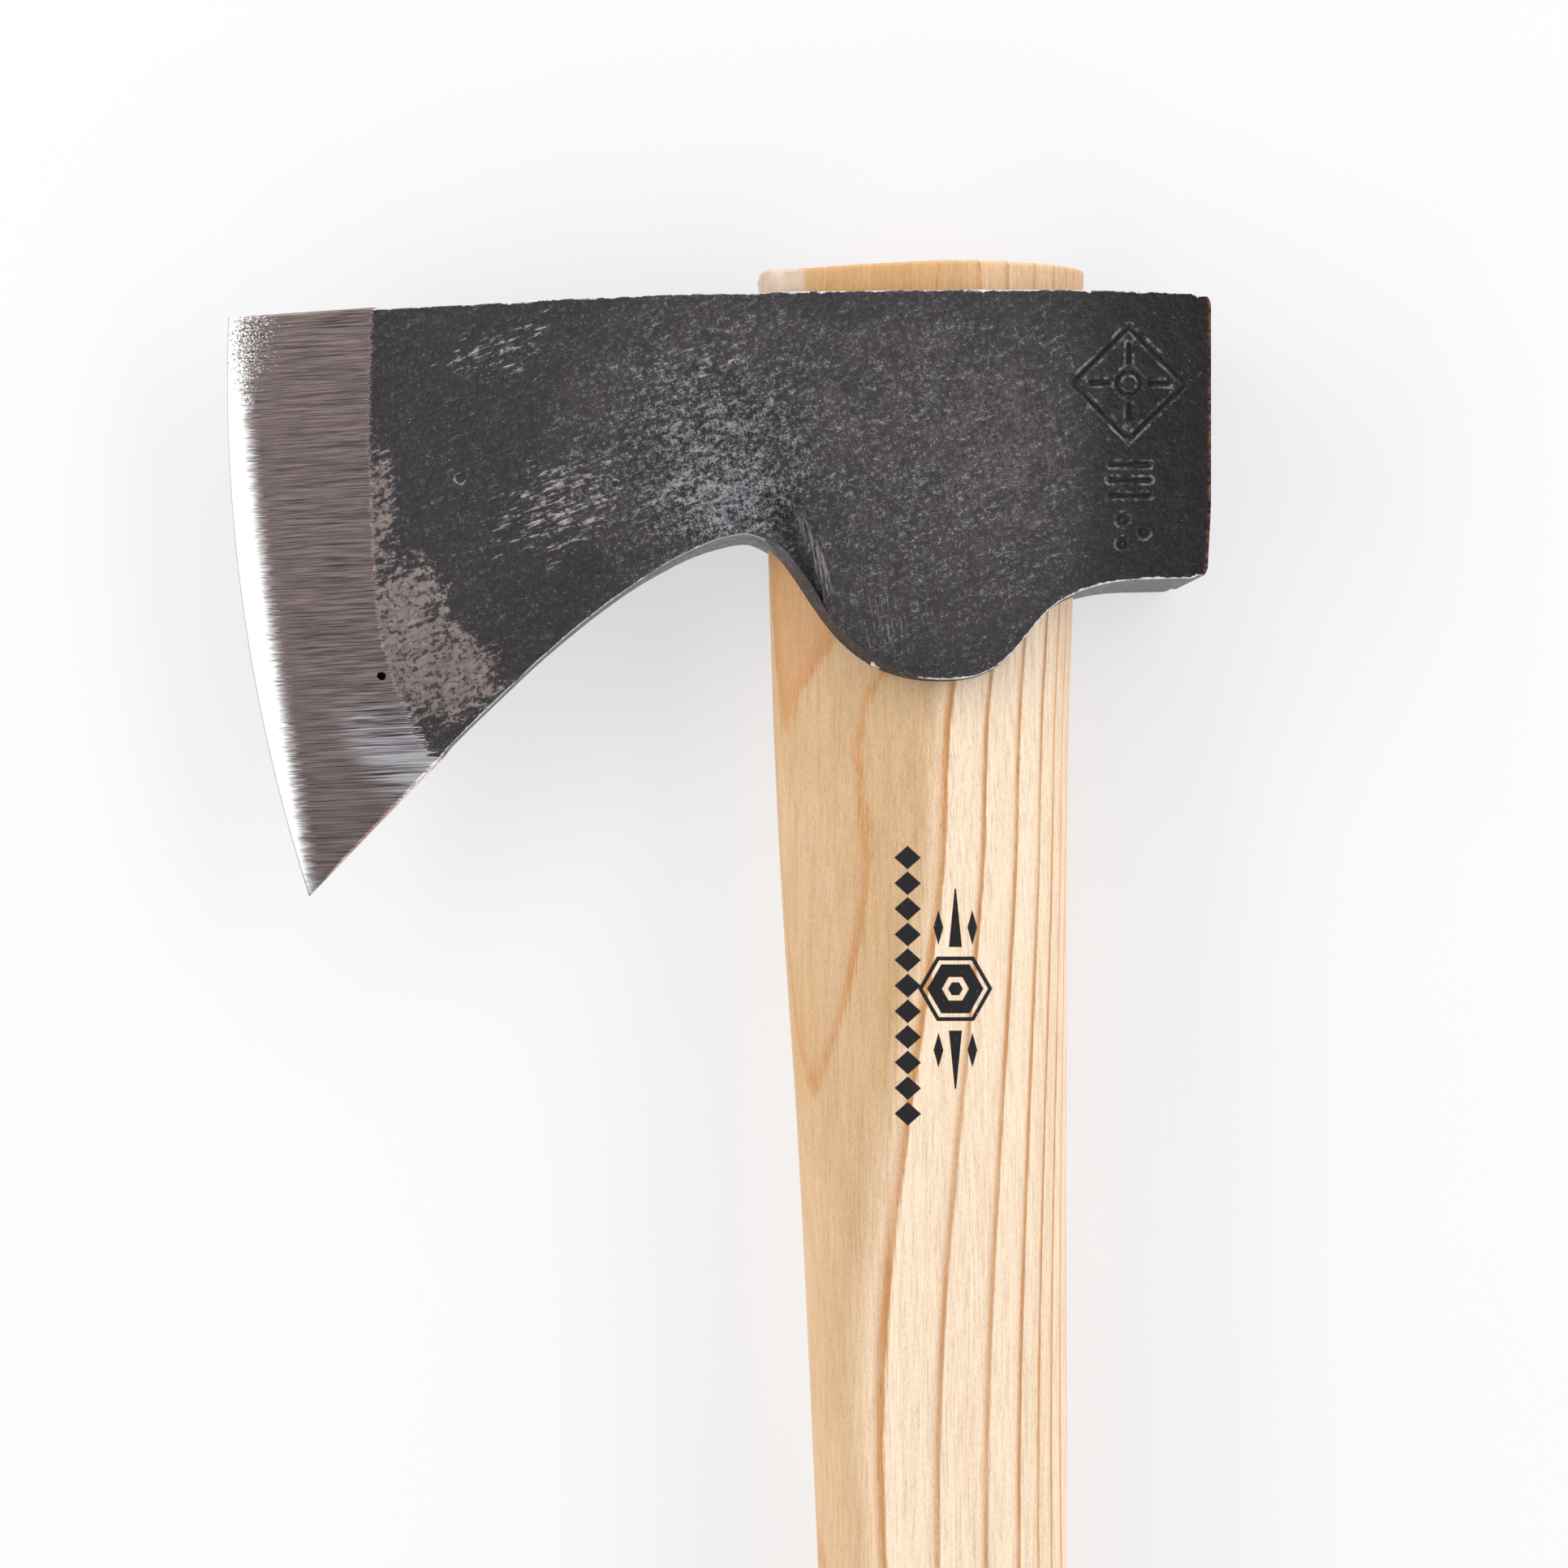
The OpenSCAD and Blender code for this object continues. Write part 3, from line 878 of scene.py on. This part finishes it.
class Skin:
    """A Principled material whose patterns are laid out in millimetres of the part's frame."""

    def __init__(self, name, **constants):
        self.material = bpy.data.materials.new(name)
        self.material.use_nodes = True
        self.tree = self.material.node_tree
        self.shader = self.tree.nodes["Principled BSDF"]
        for socket, value in constants.items():
            self.shader.inputs[socket.replace("_", " ")].default_value = value
        self.place = Value(self.tree, self.node("TexCoord").outputs["Object"])
        split = self.node("SeparateXYZ", Vector=self.place)
        self.x, self.y, self.z = (Value(self.tree, s) * 1000 for s in split.outputs)

    def node(self, kind, **inputs):
        """Adds a shader node and feeds its inputs by name."""
        node = self.tree.nodes.new("ShaderNode" + kind)
        for name, value in inputs.items():
            feed(self.tree, value, node.inputs[name])
        return node

    def spread(self, size, turn=0.0, seed=0):
        """Places measured in features of the given size in mm, turned about Z by degrees."""
        scale = Vector(np.broadcast_to(size, 3)) * MM
        offset = Vector((seed * 1.37, seed * 0.71, seed * 0.93)) * MM
        turned = (0, 0, np.radians(turn))
        node = self.node("Mapping", Vector=self.place, Scale=scale, Rotation=turned, Location=offset)
        node.vector_type = "TEXTURE"
        return Value(self.tree, node.outputs[0])

    def noise(self, size, detail=2.0, rough=0.5, turn=0.0, seed=0, warp=0.0):
        """Fractal noise from 0 to 1, about 0.5 on average."""
        place = self.spread(size, turn, seed)
        settings = dict(Scale=1.0, Detail=detail, Roughness=rough, Distortion=warp)
        node = self.node("TexNoise", Vector=place, **settings)
        return Value(self.tree, node.outputs["Fac"])

    def cells(self, size, seed=0):
        """Distance to the nearest of scattered points."""
        node = self.node("TexVoronoi", Vector=self.spread(size, seed=seed), Scale=1.0)
        return Value(self.tree, node.outputs["Distance"])

    def mask(self, name):
        node = self.node("Attribute")
        node.attribute_name = name
        return Value(self.tree, node.outputs["Fac"])

    def blend(self, share, low, high):
        """Mixes two colours."""
        node = self.node("Mix")
        node.data_type = "RGBA"
        sockets = {s.identifier: s for s in node.inputs}
        feed(self.tree, share, sockets["Factor_Float"])
        feed(self.tree, low, sockets["A_Color"])
        feed(self.tree, high, sockets["B_Color"])
        outputs = {s.identifier: s for s in node.outputs}
        return Value(self.tree, outputs["Result_Color"])

    def layers(self, colour, *coats):
        """Lays coats over a colour in turn, each given as its share and its paint."""
        for share, paint in coats:
            colour = self.blend(share, colour, paint)
        return colour

    def scaled(self, colour, share):
        """A colour made brighter or darker by a number."""
        node = self.node("VectorMath")
        node.operation = "SCALE"
        feed(self.tree, colour, node.inputs[0])
        feed(self.tree, share, node.inputs["Scale"])
        return Value(self.tree, node.outputs[0])

    def steps(self, value, places):
        """Counts up through the given places: 1 more at each, straight between them."""
        low, high = places[0], places[-1]
        node = self.node("ValToRGB")
        ramp = node.color_ramp
        last = len(places) - 1
        while len(ramp.elements) < len(places):
            ramp.elements.new(0.5)
        for k, place in enumerate(places):
            ramp.elements[k].position = (place - low) / (high - low)
        for k in range(len(places)):
            ramp.elements[k].color = (k / last, k / last, k / last, 1)
        feed(self.tree, (value - low) / (high - low), node.inputs["Fac"])
        return Value(self.tree, node.outputs["Color"]) * last

    def wear(self, colour, metallic=None, roughness=None, height=None):
        """Connects the finished values; height is in mm."""
        feed(self.tree, colour, self.shader.inputs["Base Color"])
        if metallic is not None:
            feed(self.tree, metallic, self.shader.inputs["Metallic"])
        if roughness is not None:
            feed(self.tree, roughness, self.shader.inputs["Roughness"])
        if height is not None:
            node = self.node("Bump", Distance=MM, Height=height)
            self.tree.links.new(node.outputs[0], self.shader.inputs["Normal"])
        return self.material


# ---- steel

SCALE_DARK = (0.0050, 0.0036, 0.0046)
SCALE_LIGHT = (0.022, 0.018, 0.021)
STAMPED = (0.05, 0.05, 0.055)
FLAKE = (0.36, 0.30, 0.27)
APEX = (0.22, 0.22, 0.24)
# painted highlight: the light grey laid on the polished grains at the throat
PAINTED_SCALE_SHEEN = (0.25, 0.245, 0.26)
GRANULE = (0.10, 0.098, 0.10)
SCALE_TAN = (0.085, 0.076, 0.060)
SPECK_STEEL = (0.38, 0.37, 0.38)
BARE_STEEL = (0.24, 0.20, 0.185)
BRIGHT_STEEL = (0.60, 0.57, 0.54)
BEVEL_STEEL = (0.40, 0.315, 0.30)
# painted glare: a bright bluish reflection laid on the bevel near the heel
BEVEL_PAINTED_GLARE = (0.56, 0.53, 0.58)
LAND_STEEL = (0.95, 0.95, 0.96)
RIM_STEEL = (0.80, 0.80, 0.82)
FRINGE = (0.30, 0.12, 0.05)


class ForgedSteel(Skin):
    """Dark forge scale, worn bare in places, with a ground bevel and a honed land, and painted highlights
    at the throat, on the stamped lips, on the dent's flank and at the bevel's heel.
    """

    def __init__(self):
        super().__init__("forged_steel", IOR=1.46, Specular_Tint=(1.0, 0.93, 0.98, 1.0))
        self.grain = self.noise(0.75, 4, 0.65, seed=1)
        self.dust = self.noise(0.26, 2, 0.6, seed=2)
        self.crumbs = self.noise((0.6, 0.45, 0.5), 3, 0.7, turn=20, seed=15)
        self.patchy = self.noise(3.2, 6, 0.68, seed=3)
        self.brushed = self.noise((16, 0.14, 1), 2, 0.6, turn=2.5, seed=5)
        self.coarse_brush = self.noise((30, 0.9, 1), 2, 0.5, turn=2.5, seed=6)
        self.torn = self.noise((3.4, 0.8, 1), 6, 0.75, turn=22, seed=8, warp=0.4)
        self.flaky = self.noise((2.2, 1.1, 1.5), 8, 0.78, turn=25, seed=9)
        self.bristles = self.noise((3.2, 0.17, 1), 3, 0.7, turn=1.5, seed=7)
        self.scrape = self.noise((3.6, 0.5, 1), 5, 0.72, turn=19, seed=16, warp=0.2)
        self.ragged = self.sway(patchy=2.2, grain=2.2, torn=1.5)
        self.shine, self.speck = self.mask("shine"), self.mask("speck")
        self.bevel_gap, self.poll_gap = self.mask("bevel_gap"), self.mask("poll_gap")
        self.heel = self.mask("up_edge").fade(0.36, 0.2)
        self.crater = self.pit_distance() + self.sway(grain=1.1)
        self.find_ground()
        self.find_edges()
        self.find_wear()

    def mixed(self, **weights):
        """The weighted sum of the fields with the given names."""
        return sum(getattr(self, name) * weight for name, weight in weights.items())

    def sway(self, **weights):
        """The same, with each field measured from its mean of a half."""
        return self.mixed(**weights) - sum(weights.values()) / 2

    def find_ground(self):
        """Where the ground bevel and the honed land show, with bristly borders."""
        fringed = self.ragged * 0.45 + (self.bristles - 0.5) * mix(2.5, 10.0, self.heel)
        self.bevel = (self.bevel_gap + fringed).fade(0.16, -0.16)
        speckle = (self.dust - 0.5) * self.mask("up_edge").fade(0.80, 0.97) * 30
        land = self.mask("land_gap") + 0.4 + self.sway(bristles=6.5, brushed=3) + speckle
        self.land = land.fade(1.1, -1.6)

    def find_edges(self):
        """The stamped grooves, their raised lips with a painted highlight, and the rubbed rims."""
        stroke = self.mask("stroke_gap")
        self.stamped = stroke.fade(0.45, 0.20)
        broken = self.mixed(patchy=0.6, grain=0.4).fade(0.47, 0.60)
        # lip: a painted highlight along the raised lips of the stamped strokes
        self.lip = stroke.fade(0.30, 0.50) * stroke.fade(0.85, 0.65) * broken
        wander = (self.patchy - 0.45) * mix(1.0, 2.6, self.y.fade(-8, 8))
        self.worn = (self.mask("rim_gap") + wander + self.sway(grain=1.1)).fade(0.42, 0.10)

    def find_wear(self):
        """Flaked patches, leaning scrapes, upright scratches, bright striations on the dent's flank that
        are partly a painted highlight, clumped flecks and lone flakes.
        """
        zone = self.mask("bare")
        bare = (zone * 0.26 + self.flaky).fade(0.60, 0.64) * (zone + self.ragged * 0.06).fade(0.02, 0.16)
        self.bare = bare * mix(0.12, 1.0, self.mixed(grain=0.6, torn=0.4).fade(0.43, 0.49))
        zone = self.mask("streak")
        streak = (zone * 0.15 + self.mixed(scrape=0.6, torn=0.4)).fade(0.635, 0.68)
        self.streak = streak * zone.fade(0.02, 0.2) * self.mixed(grain=0.5, flaky=0.5).fade(0.44, 0.54)
        upright = self.noise((0.30, 5, 1), 3, 0.7, turn=8, seed=14)
        zone, fold = self.mask("scratch"), self.mask("fold")
        scored = (zone * 0.10 + upright).fade(0.64, 0.74) * zone.fade(0.0, 0.4) * 0.35
        # the fold adds bright striations on the dent's flank, partly a painted highlight
        self.scored = scored.most((fold * 0.12 + upright).fade(0.55, 0.72) * fold * 0.8)
        clumps = self.speck * 0.08 + self.sway(patchy=0.25)
        fine = (clumps + self.mixed(dust=0.75, torn=0.25)).fade(0.65, 0.74) * 0.7
        coarse = (clumps + self.mixed(crumbs=0.7, grain=0.3)).fade(0.67, 0.73) * 0.6
        self.flecks = fine.most(coarse)
        self.lonely = self.mixed(flaky=0.5, torn=0.5, speck=0.03).fade(0.665, 0.69) * 0.8

    def pit_distance(self):
        """Distance to the nearest pit, in pit radii, on the upper side."""
        nearest = None
        for px, py, radius in PITS:
            dx, dy = self.x - px, self.y - py
            reach = (dx * dx + dy * dy) ** 0.5 / radius
            nearest = nearest.least(reach) if nearest else reach
        return nearest + self.z.fade(MID_Z, MID_Z - 0.5) * 9

    def polish_and_painted_sheen(self):
        """Grains polished by use with a painted highlight on them, thickest at the throat."""
        glint = self.mixed(grain=0.40, dust=0.25, torn=0.35, shine=0.045, speck=0.02)
        return glint.fade(0.50, 0.66) * self.speck.most(self.shine * 1.3).least(1.0)

    def scale_colour(self, polish_and_painted_sheen):
        """The dark scale with its granules, polished grains carrying a painted highlight, and tan film."""
        broad = self.noise(15, 3, 0.55, seed=4).fade(0.35, 0.65) * 0.25
        tone = broad + self.patchy.fade(0.4, 0.62) * 0.35 + self.grain.fade(0.4, 0.65) * 0.4
        tone = tone * mix(0.30, 1.9, self.speck.fade(0.1, 0.8))
        granules = (self.mixed(crumbs=0.5, grain=0.5) + self.sway(patchy=0.35)).fade(0.50, 0.62)
        # sparkle brightens the painted highlight, most of all in the shine zone at the throat
        sparkle = self.mixed(dust=0.4, grain=0.3, torn=0.3).fade(0.40, 0.64)
        sparkle = sparkle * (1.3 + self.shine * 0.7) + 0.25
        film = self.noise((0.5, 1.3, 1), 5, 0.75, seed=11) * 0.7 + self.patchy * 0.3
        tan = (film + self.mask("film") * 0.06).fade(0.50, 0.66) * self.mask("film").fade(0.0, 0.7)
        return self.layers(
            SCALE_DARK,
            (tone, SCALE_LIGHT),
            (granules * self.speck.fade(0.2, 0.9) * 0.30, GRANULE),
            # painted highlight on the polished grains
            (polish_and_painted_sheen * 0.85, self.scaled(PAINTED_SCALE_SHEEN, sparkle)),
            (tan * 0.7, SCALE_TAN),
        )

    def worn_colour(self, colour):
        """Everything that shows steel or rust through the scale, smallest wear first, and the painted
        highlights on the stamped lips and on the dent's flank.
        """
        scraped = self.streak.most(self.scored) * 0.85
        fringe = self.poll_gap.fade(1.0, 0.1) * self.grain.fade(0.42, 0.60) * 0.8
        return self.layers(
            colour,
            (self.flecks, SPECK_STEEL),
            (self.bare, self.scaled(BARE_STEEL, self.flaky * 2.5 - 0.40)),
            (self.stamped * 0.6, STAMPED),
            # painted highlight on the stamped lips
            (self.lip * 0.35, BRIGHT_STEEL),
            (self.lonely, FLAKE),
            (scraped, self.scaled(BRIGHT_STEEL, 0.20 + self.flaky * 0.9)),
            (self.worn * 0.9, RIM_STEEL),
            (fringe, FRINGE),
        )

    def ground_colour(self):
        """The brushed bevel with a painted bluish glare at the heel, the bright land and the dull apex."""
        lines = (self.mixed(brushed=2.8, coarse_brush=0.25) - 0.66).most(0.1)
        # glare: bright brushed streaks of painted reflection for the heel
        glare = (self.mixed(brushed=9.0, coarse_brush=6.0) - 6.2).most(0.06)
        return self.layers(
            self.scaled(BEVEL_STEEL, lines),
            (self.heel * self.bevel_gap.fade(-13, -5), self.scaled(BEVEL_PAINTED_GLARE, glare)),
            (self.dust.fade(0.68, 0.78) * 0.35, BRIGHT_STEEL),
            (self.land, LAND_STEEL),
            (self.mask("edge_gap").fade(0.26, 0.08) * 0.8, APEX),
        )

    def roughness(self, metal):
        """Duller on bare metal and the land, glossier in the stamped grooves and on the bevel."""
        rough = 0.33 + self.sway(grain=0.3) - self.shine * 0.06
        rough = mix(rough, 0.40, metal)
        rough = mix(rough, 0.22, self.stamped)
        rough = mix(rough, 0.27 + self.sway(brushed=0.12), self.bevel)
        return mix(rough, 0.42, self.bevel * self.land)

    def relief(self):
        """Height in mm: granular scale and pits, or fine scratches on the bevel."""
        relief = (self.grain - 0.5) * (0.28 + self.speck * 0.30) * (1 - self.stamped)
        relief = relief + self.sway(dust=0.09) + self.noise(1.9, 3, 0.6, seed=12) * 0.36 - 0.18
        relief = relief + (self.torn - 0.5) * self.mixed(speck=0.45, shine=0.7)
        relief = relief + self.sway(dust=0.40, grain=0.5) * self.shine
        relief = relief - self.crater.fade(1.0, 0.5) * 0.35
        relief = relief - self.cells(2.6, seed=13).fade(0.13, 0.05) * 0.05
        return mix(relief, self.sway(brushed=0.008, coarse_brush=0.006), self.bevel)

    def finished(self):
        """Joins the colours, the share of bare metal, the roughness and the relief."""
        polish_and_painted_sheen = self.polish_and_painted_sheen()
        rim = self.crater.fade(1.25, 1.0) * self.crater.fade(0.7, 0.85)
        colour = self.layers(
            self.worn_colour(self.scale_colour(polish_and_painted_sheen)),
            (self.bevel, self.ground_colour()),
            (rim * (self.patchy + self.flaky).fade(0.95, 1.1) * 0.5, BRIGHT_STEEL),
            (self.crater.fade(0.85, 0.7), SCALE_DARK),
        )
        metal = self.bare.most(self.streak).most(self.scored).most(self.lonely)
        poll_rim = (self.poll_gap + self.sway(grain=1.4)).fade(0.75, 0.35)
        metal = metal.most(self.flecks * 0.6).most(self.worn * 0.9).most(poll_rim * 0.5)
        metallic = metal.most(self.bevel).most(polish_and_painted_sheen * 0.45).most(self.lip * 0.4)
        dull_poll = self.x.fade(20, 34, 0.5, 0.32)
        feed(self.tree, dull_poll, self.shader.inputs["Specular IOR Level"])
        return self.wear(colour, metallic, self.roughness(metal), self.relief())


def staple_steel():
    """Zinc-grey stamped steel with drawn lines and small hammer bruises."""
    skin = Skin("staple_steel")
    drawn = skin.noise((0.12, 6, 0.12), 3, 0.6, seed=21)
    bruise = skin.noise(1.3, 3, 0.6, seed=22)
    colour = skin.blend(bruise.fade(0.4, 0.65), (0.30, 0.30, 0.31), (0.55, 0.55, 0.56))
    rough = 0.34 + (drawn - 0.5) * 0.25
    return skin.wear(colour, 1.0, rough, drawn * 0.02 + bruise * 0.12)


# ---- wood

GROWTH_LINES = [-9.53, -8.73, -6.22, -3.44, 0.4, 4.06, 6.8, 8.93, 10.68]
RINGS_LEFT, RINGS_RIGHT = 3, 14
CREAM = (0.86, 0.68, 0.505)
GOLDEN = (0.50, 0.305, 0.135)
LATE_WOOD = (0.50, 0.235, 0.08)
STUB_WOOD = (0.80, 0.46, 0.20)
SPLINTER = (0.80, 0.64, 0.52)
PORE = (0.30, 0.15, 0.06)
END_GRAIN = (0.46, 0.30, 0.15)
INK = (0.004, 0.004, 0.005)


def growth(skin):
    """The tree's ring coordinate through the handle: bent rings with a little run-out."""
    tilt = np.radians(14.4)
    x, z = skin.x, skin.z - MID_Z
    y = skin.y.math("SMOOTH_MAX", -165, 40).math("SMOOTH_MIN", -14, 10) / 100
    across = x * np.cos(tilt) + z * np.sin(tilt)
    bent = across * across * (across * 0.00057 + 0.00389)
    field = x * np.sin(tilt) - z * np.cos(tilt) + bent
    field = field + y * (y * (y * 1.464 + 0.477) - 1.235) - x * y * 0.0964 - z * y * 0.5087
    wander = skin.noise((9, 60, 9), 2, 0.5, seed=31) - 0.5
    return field + wander * 0.25


def ring_places():
    """The measured growth lines, carried on at an even spacing to both sides."""
    left = [GROWTH_LINES[0] - 1.1 * k for k in range(RINGS_LEFT, 0, -1)]
    right = [GROWTH_LINES[-1] + 1.7 * k for k in range(1, RINGS_RIGHT + 1)]
    return left + GROWTH_LINES + right


def ink_mark(skin):
    """A plain printed ornament: a chain of lozenges beside a hexagon with tapered bars."""
    middle, centre_x, chain_x = -74.4, 4.25, -2.2
    pitch, half_length = 3.47, 19.1
    along = skin.y - middle
    cell = abs((along / pitch + 0.5).math("FRACT") - 0.5) * pitch
    lozenge = (abs(skin.x - chain_x) / 1.8 + cell / 1.62).fade(1.05, 0.95)
    chain = lozenge * abs(along).fade(half_length + 0.05, half_length - 0.05)
    u, v = abs(skin.x - centre_x), abs(along + 0.4)
    six = (u * 0.866 + v * 0.5).most(v)
    badge = six.fade(4.45, 4.3) * (six.fade(3.75, 3.9).most(six.fade(3.4, 3.25)))
    badge = badge * (six.fade(1.5, 1.65).most(six.fade(0.95, 0.8)))
    taper = (u + (v - 5.6) * 0.10).fade(0.95, 0.85) * v.fade(5.6, 5.7) * v.fade(13.6, 13.5)
    wing = (abs(u - 2.3) + abs(v - 8.3) * 0.28).fade(0.72, 0.62)
    drawn = chain.most(badge).most(taper).most(wing)
    return drawn * skin.z.fade(MID_Z, MID_Z + 1) * skin.noise(0.35, 3, 0.7, seed=45).fade(0.20, 0.32)


def late_wood(skin, ring, fibre):
    """The dark end of each ring, sharp outside and fading inwards."""
    share = skin.steps(ring, ring_places()).math("FRACT")
    strength = skin.noise((3, 90, 3), 1, 0.5, seed=35).fade(0.35, 0.65, 0.75, 1.15)
    soft = share ** 5 * 0.30 + share ** 2 * 0.06
    core = share.fade(0.74, 0.93) * mix(0.45, 0.90, fibre.fade(0.30, 0.60))
    return ((soft + core) * strength * share.fade(1.0, 0.93)).least(1.0)


def hickory(name, tone=1.0, printed=False, swing=0.0):
    """Pale ring-porous wood: rings sharp on one side, fine fibres, pores and darker end grain."""
    skin = Skin(name, IOR=1.45)
    fibre = skin.noise((0.24, 8, 0.24), 4, 0.70, seed=32)
    ring = growth(skin) + skin.x * swing + (fibre - 0.5) * 0.4
    long_fibre = skin.noise((0.7, 40, 0.7), 2, 0.5, seed=33)
    cloud = skin.noise((5, 30, 5), 3, 0.55, seed=34)
    end = skin.mask("end_grain")
    late = late_wood(skin, ring, fibre)
    heart = ring.fade(-6.2, -7.8)
    colour = skin.layers(
        CREAM,
        ((heart * 0.85 + (cloud - 0.5) * 0.6).most(0.0), GOLDEN),
        (ring.fade(1, 9) * 0.27, GOLDEN),
        (ring.fade(-9.45, -9.8) * 0.6, LATE_WOOD),
        (late, LATE_WOOD),
        (fibre.fade(0.52, 0.36) * 0.20, GOLDEN),
    )
    shade = 1.0 + (fibre - 0.5) * 0.60 + (long_fibre - 0.5) * 0.24 + (cloud - 0.5) * 0.10
    shade = shade + (skin.noise((0.22, 0.7, 0.22), 2, 0.7, seed=38) - 0.5) * 0.50
    shade = shade * tone
    above = skin.y.fade(POLL_HALF_Y - 0.5, POLL_HALF_Y + 0.5)
    splintered = above * (skin.x + (fibre - 0.5) * 6 + (cloud - 0.5) * 12).fade(-15.5, -18)
    pore = skin.noise((0.16, 3.2, 0.16), 1, 0.4, seed=36).fade(0.66, 0.74) * (0.35 + late * 0.9)
    colour = skin.layers(
        skin.scaled(colour, shade),
        (above * 0.6, skin.scaled(STUB_WOOD, shade)),
        (splintered * 0.8, skin.scaled(SPLINTER, 0.6 + cloud * 0.8)),
        (pore * 0.55, PORE),
        (end * 0.45, END_GRAIN),
    )
    if printed:
        colour = skin.blend(ink_mark(skin), colour, INK)
    rough = 0.50 + (fibre - 0.5) * 0.25
    relief = fibre * 0.020 + long_fibre * 0.02 - pore * 0.02
    relief = relief + skin.noise(0.5, 3, 0.7, seed=37) * end * 0.15
    return skin.wear(colour, None, rough, relief)


# ---- stage

FLOOR_TONE = (0.34, 0.34, 0.345)
FLOOR_GLOW = 0.56
SKY_LOW, SKY_HIGH = 1.75, 0.36
CAMERA_LENS, CAMERA_SPOT, CAMERA_HEIGHT = 62.8, (-0.01898, -0.04705), 0.383


def floor():
    """A large plain pale sheet under the part."""
    size = 4.0
    mesh = bpy.data.meshes.new("floor")
    corners = [(-size, -size, 0), (size, -size, 0), (size, size, 0), (-size, size, 0)]
    mesh.from_pydata(corners, [], [(0, 1, 2, 3)])
    obj = add_object("floor", mesh)
    skin = Skin("floor_paper", Roughness=0.9, Emission_Color=(1, 1, 1.01, 1), Emission_Strength=FLOOR_GLOW)
    paper = skin.noise(40, 2, 0.5, seed=51)
    obj.data.materials.append(skin.wear(skin.scaled(FLOOR_TONE, 0.99 + paper * 0.02)))


def softbox(name, centre, target, width, length, radiance):
    """A large even area light of a given radiance, turned to its target."""
    light = bpy.data.lights.new(name, "AREA")
    light.shape = "RECTANGLE"
    light.size, light.size_y = width, length
    light.energy = radiance * np.pi * width * length
    obj = add_object(name, light)
    obj.location = centre
    direction = Vector(target) - Vector(centre)
    obj.rotation_euler = direction.to_track_quat("-Z", "Y").to_euler()
    obj.visible_camera = False


def sky():
    """A dim even dome that brightens towards the horizon."""
    world = bpy.data.worlds.new("studio")
    world.use_nodes = True
    bpy.context.scene.world = world
    tree = world.node_tree
    place = tree.nodes.new("ShaderNodeTexCoord").outputs["Generated"]
    split = tree.nodes.new("ShaderNodeSeparateXYZ")
    tree.links.new(place, split.inputs[0])
    height = Value(tree, split.outputs["Z"])
    bright = height.fade(0.25, 0.86, SKY_LOW, SKY_HIGH)
    feed(tree, (1.0, 1.0, 1.01), tree.nodes["Background"].inputs["Color"])
    feed(tree, bright, tree.nodes["Background"].inputs["Strength"])


def lights():
    aim = (-0.03, -0.02, 0.01)
    softbox("key", (-0.92, 0.10, 0.64), aim, 1.5, 0.34, 3.2)
    softbox("top", (0.05, 1.0, 0.55), aim, 1.2, 0.4, 1.2)
    softbox("fill", (0.95, 0.15, 0.75), aim, 1.5, 0.45, 2.4)


def camera():
    """Straight down on the head, framed as the photograph is."""
    data = bpy.data.cameras.new("camera")
    data.lens = CAMERA_LENS
    data.sensor_width = 36
    data.clip_start = 0.02
    obj = add_object("camera", data)
    obj.location = (*CAMERA_SPOT, CAMERA_HEIGHT + MID_Z * MM)
    bpy.context.scene.camera = obj


# ---- the whole


def dress(piece, material, node):
    """Gives a piece its material, hangs it under the root body and hides the CAD node it replaces."""
    piece.data.materials.clear()
    piece.data.materials.append(material)
    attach(piece, "root")
    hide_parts(node)


def build():
    head = head_piece()
    handle, wedge, staple = handle_pieces()
    dress(head, ForgedSteel().finished(), "axe_head")
    dress(handle, hickory("hickory", printed=True), "handle")
    dress(wedge, hickory("wedge_wood", tone=0.82, swing=0.9), "wood_wedge")
    dress(staple, staple_steel(), "lock_staple")
    floor()
    sky()
    lights()
    camera()
    bpy.context.scene.view_settings.view_transform = "Standard"
    bpy.context.view_layer.update()


build()
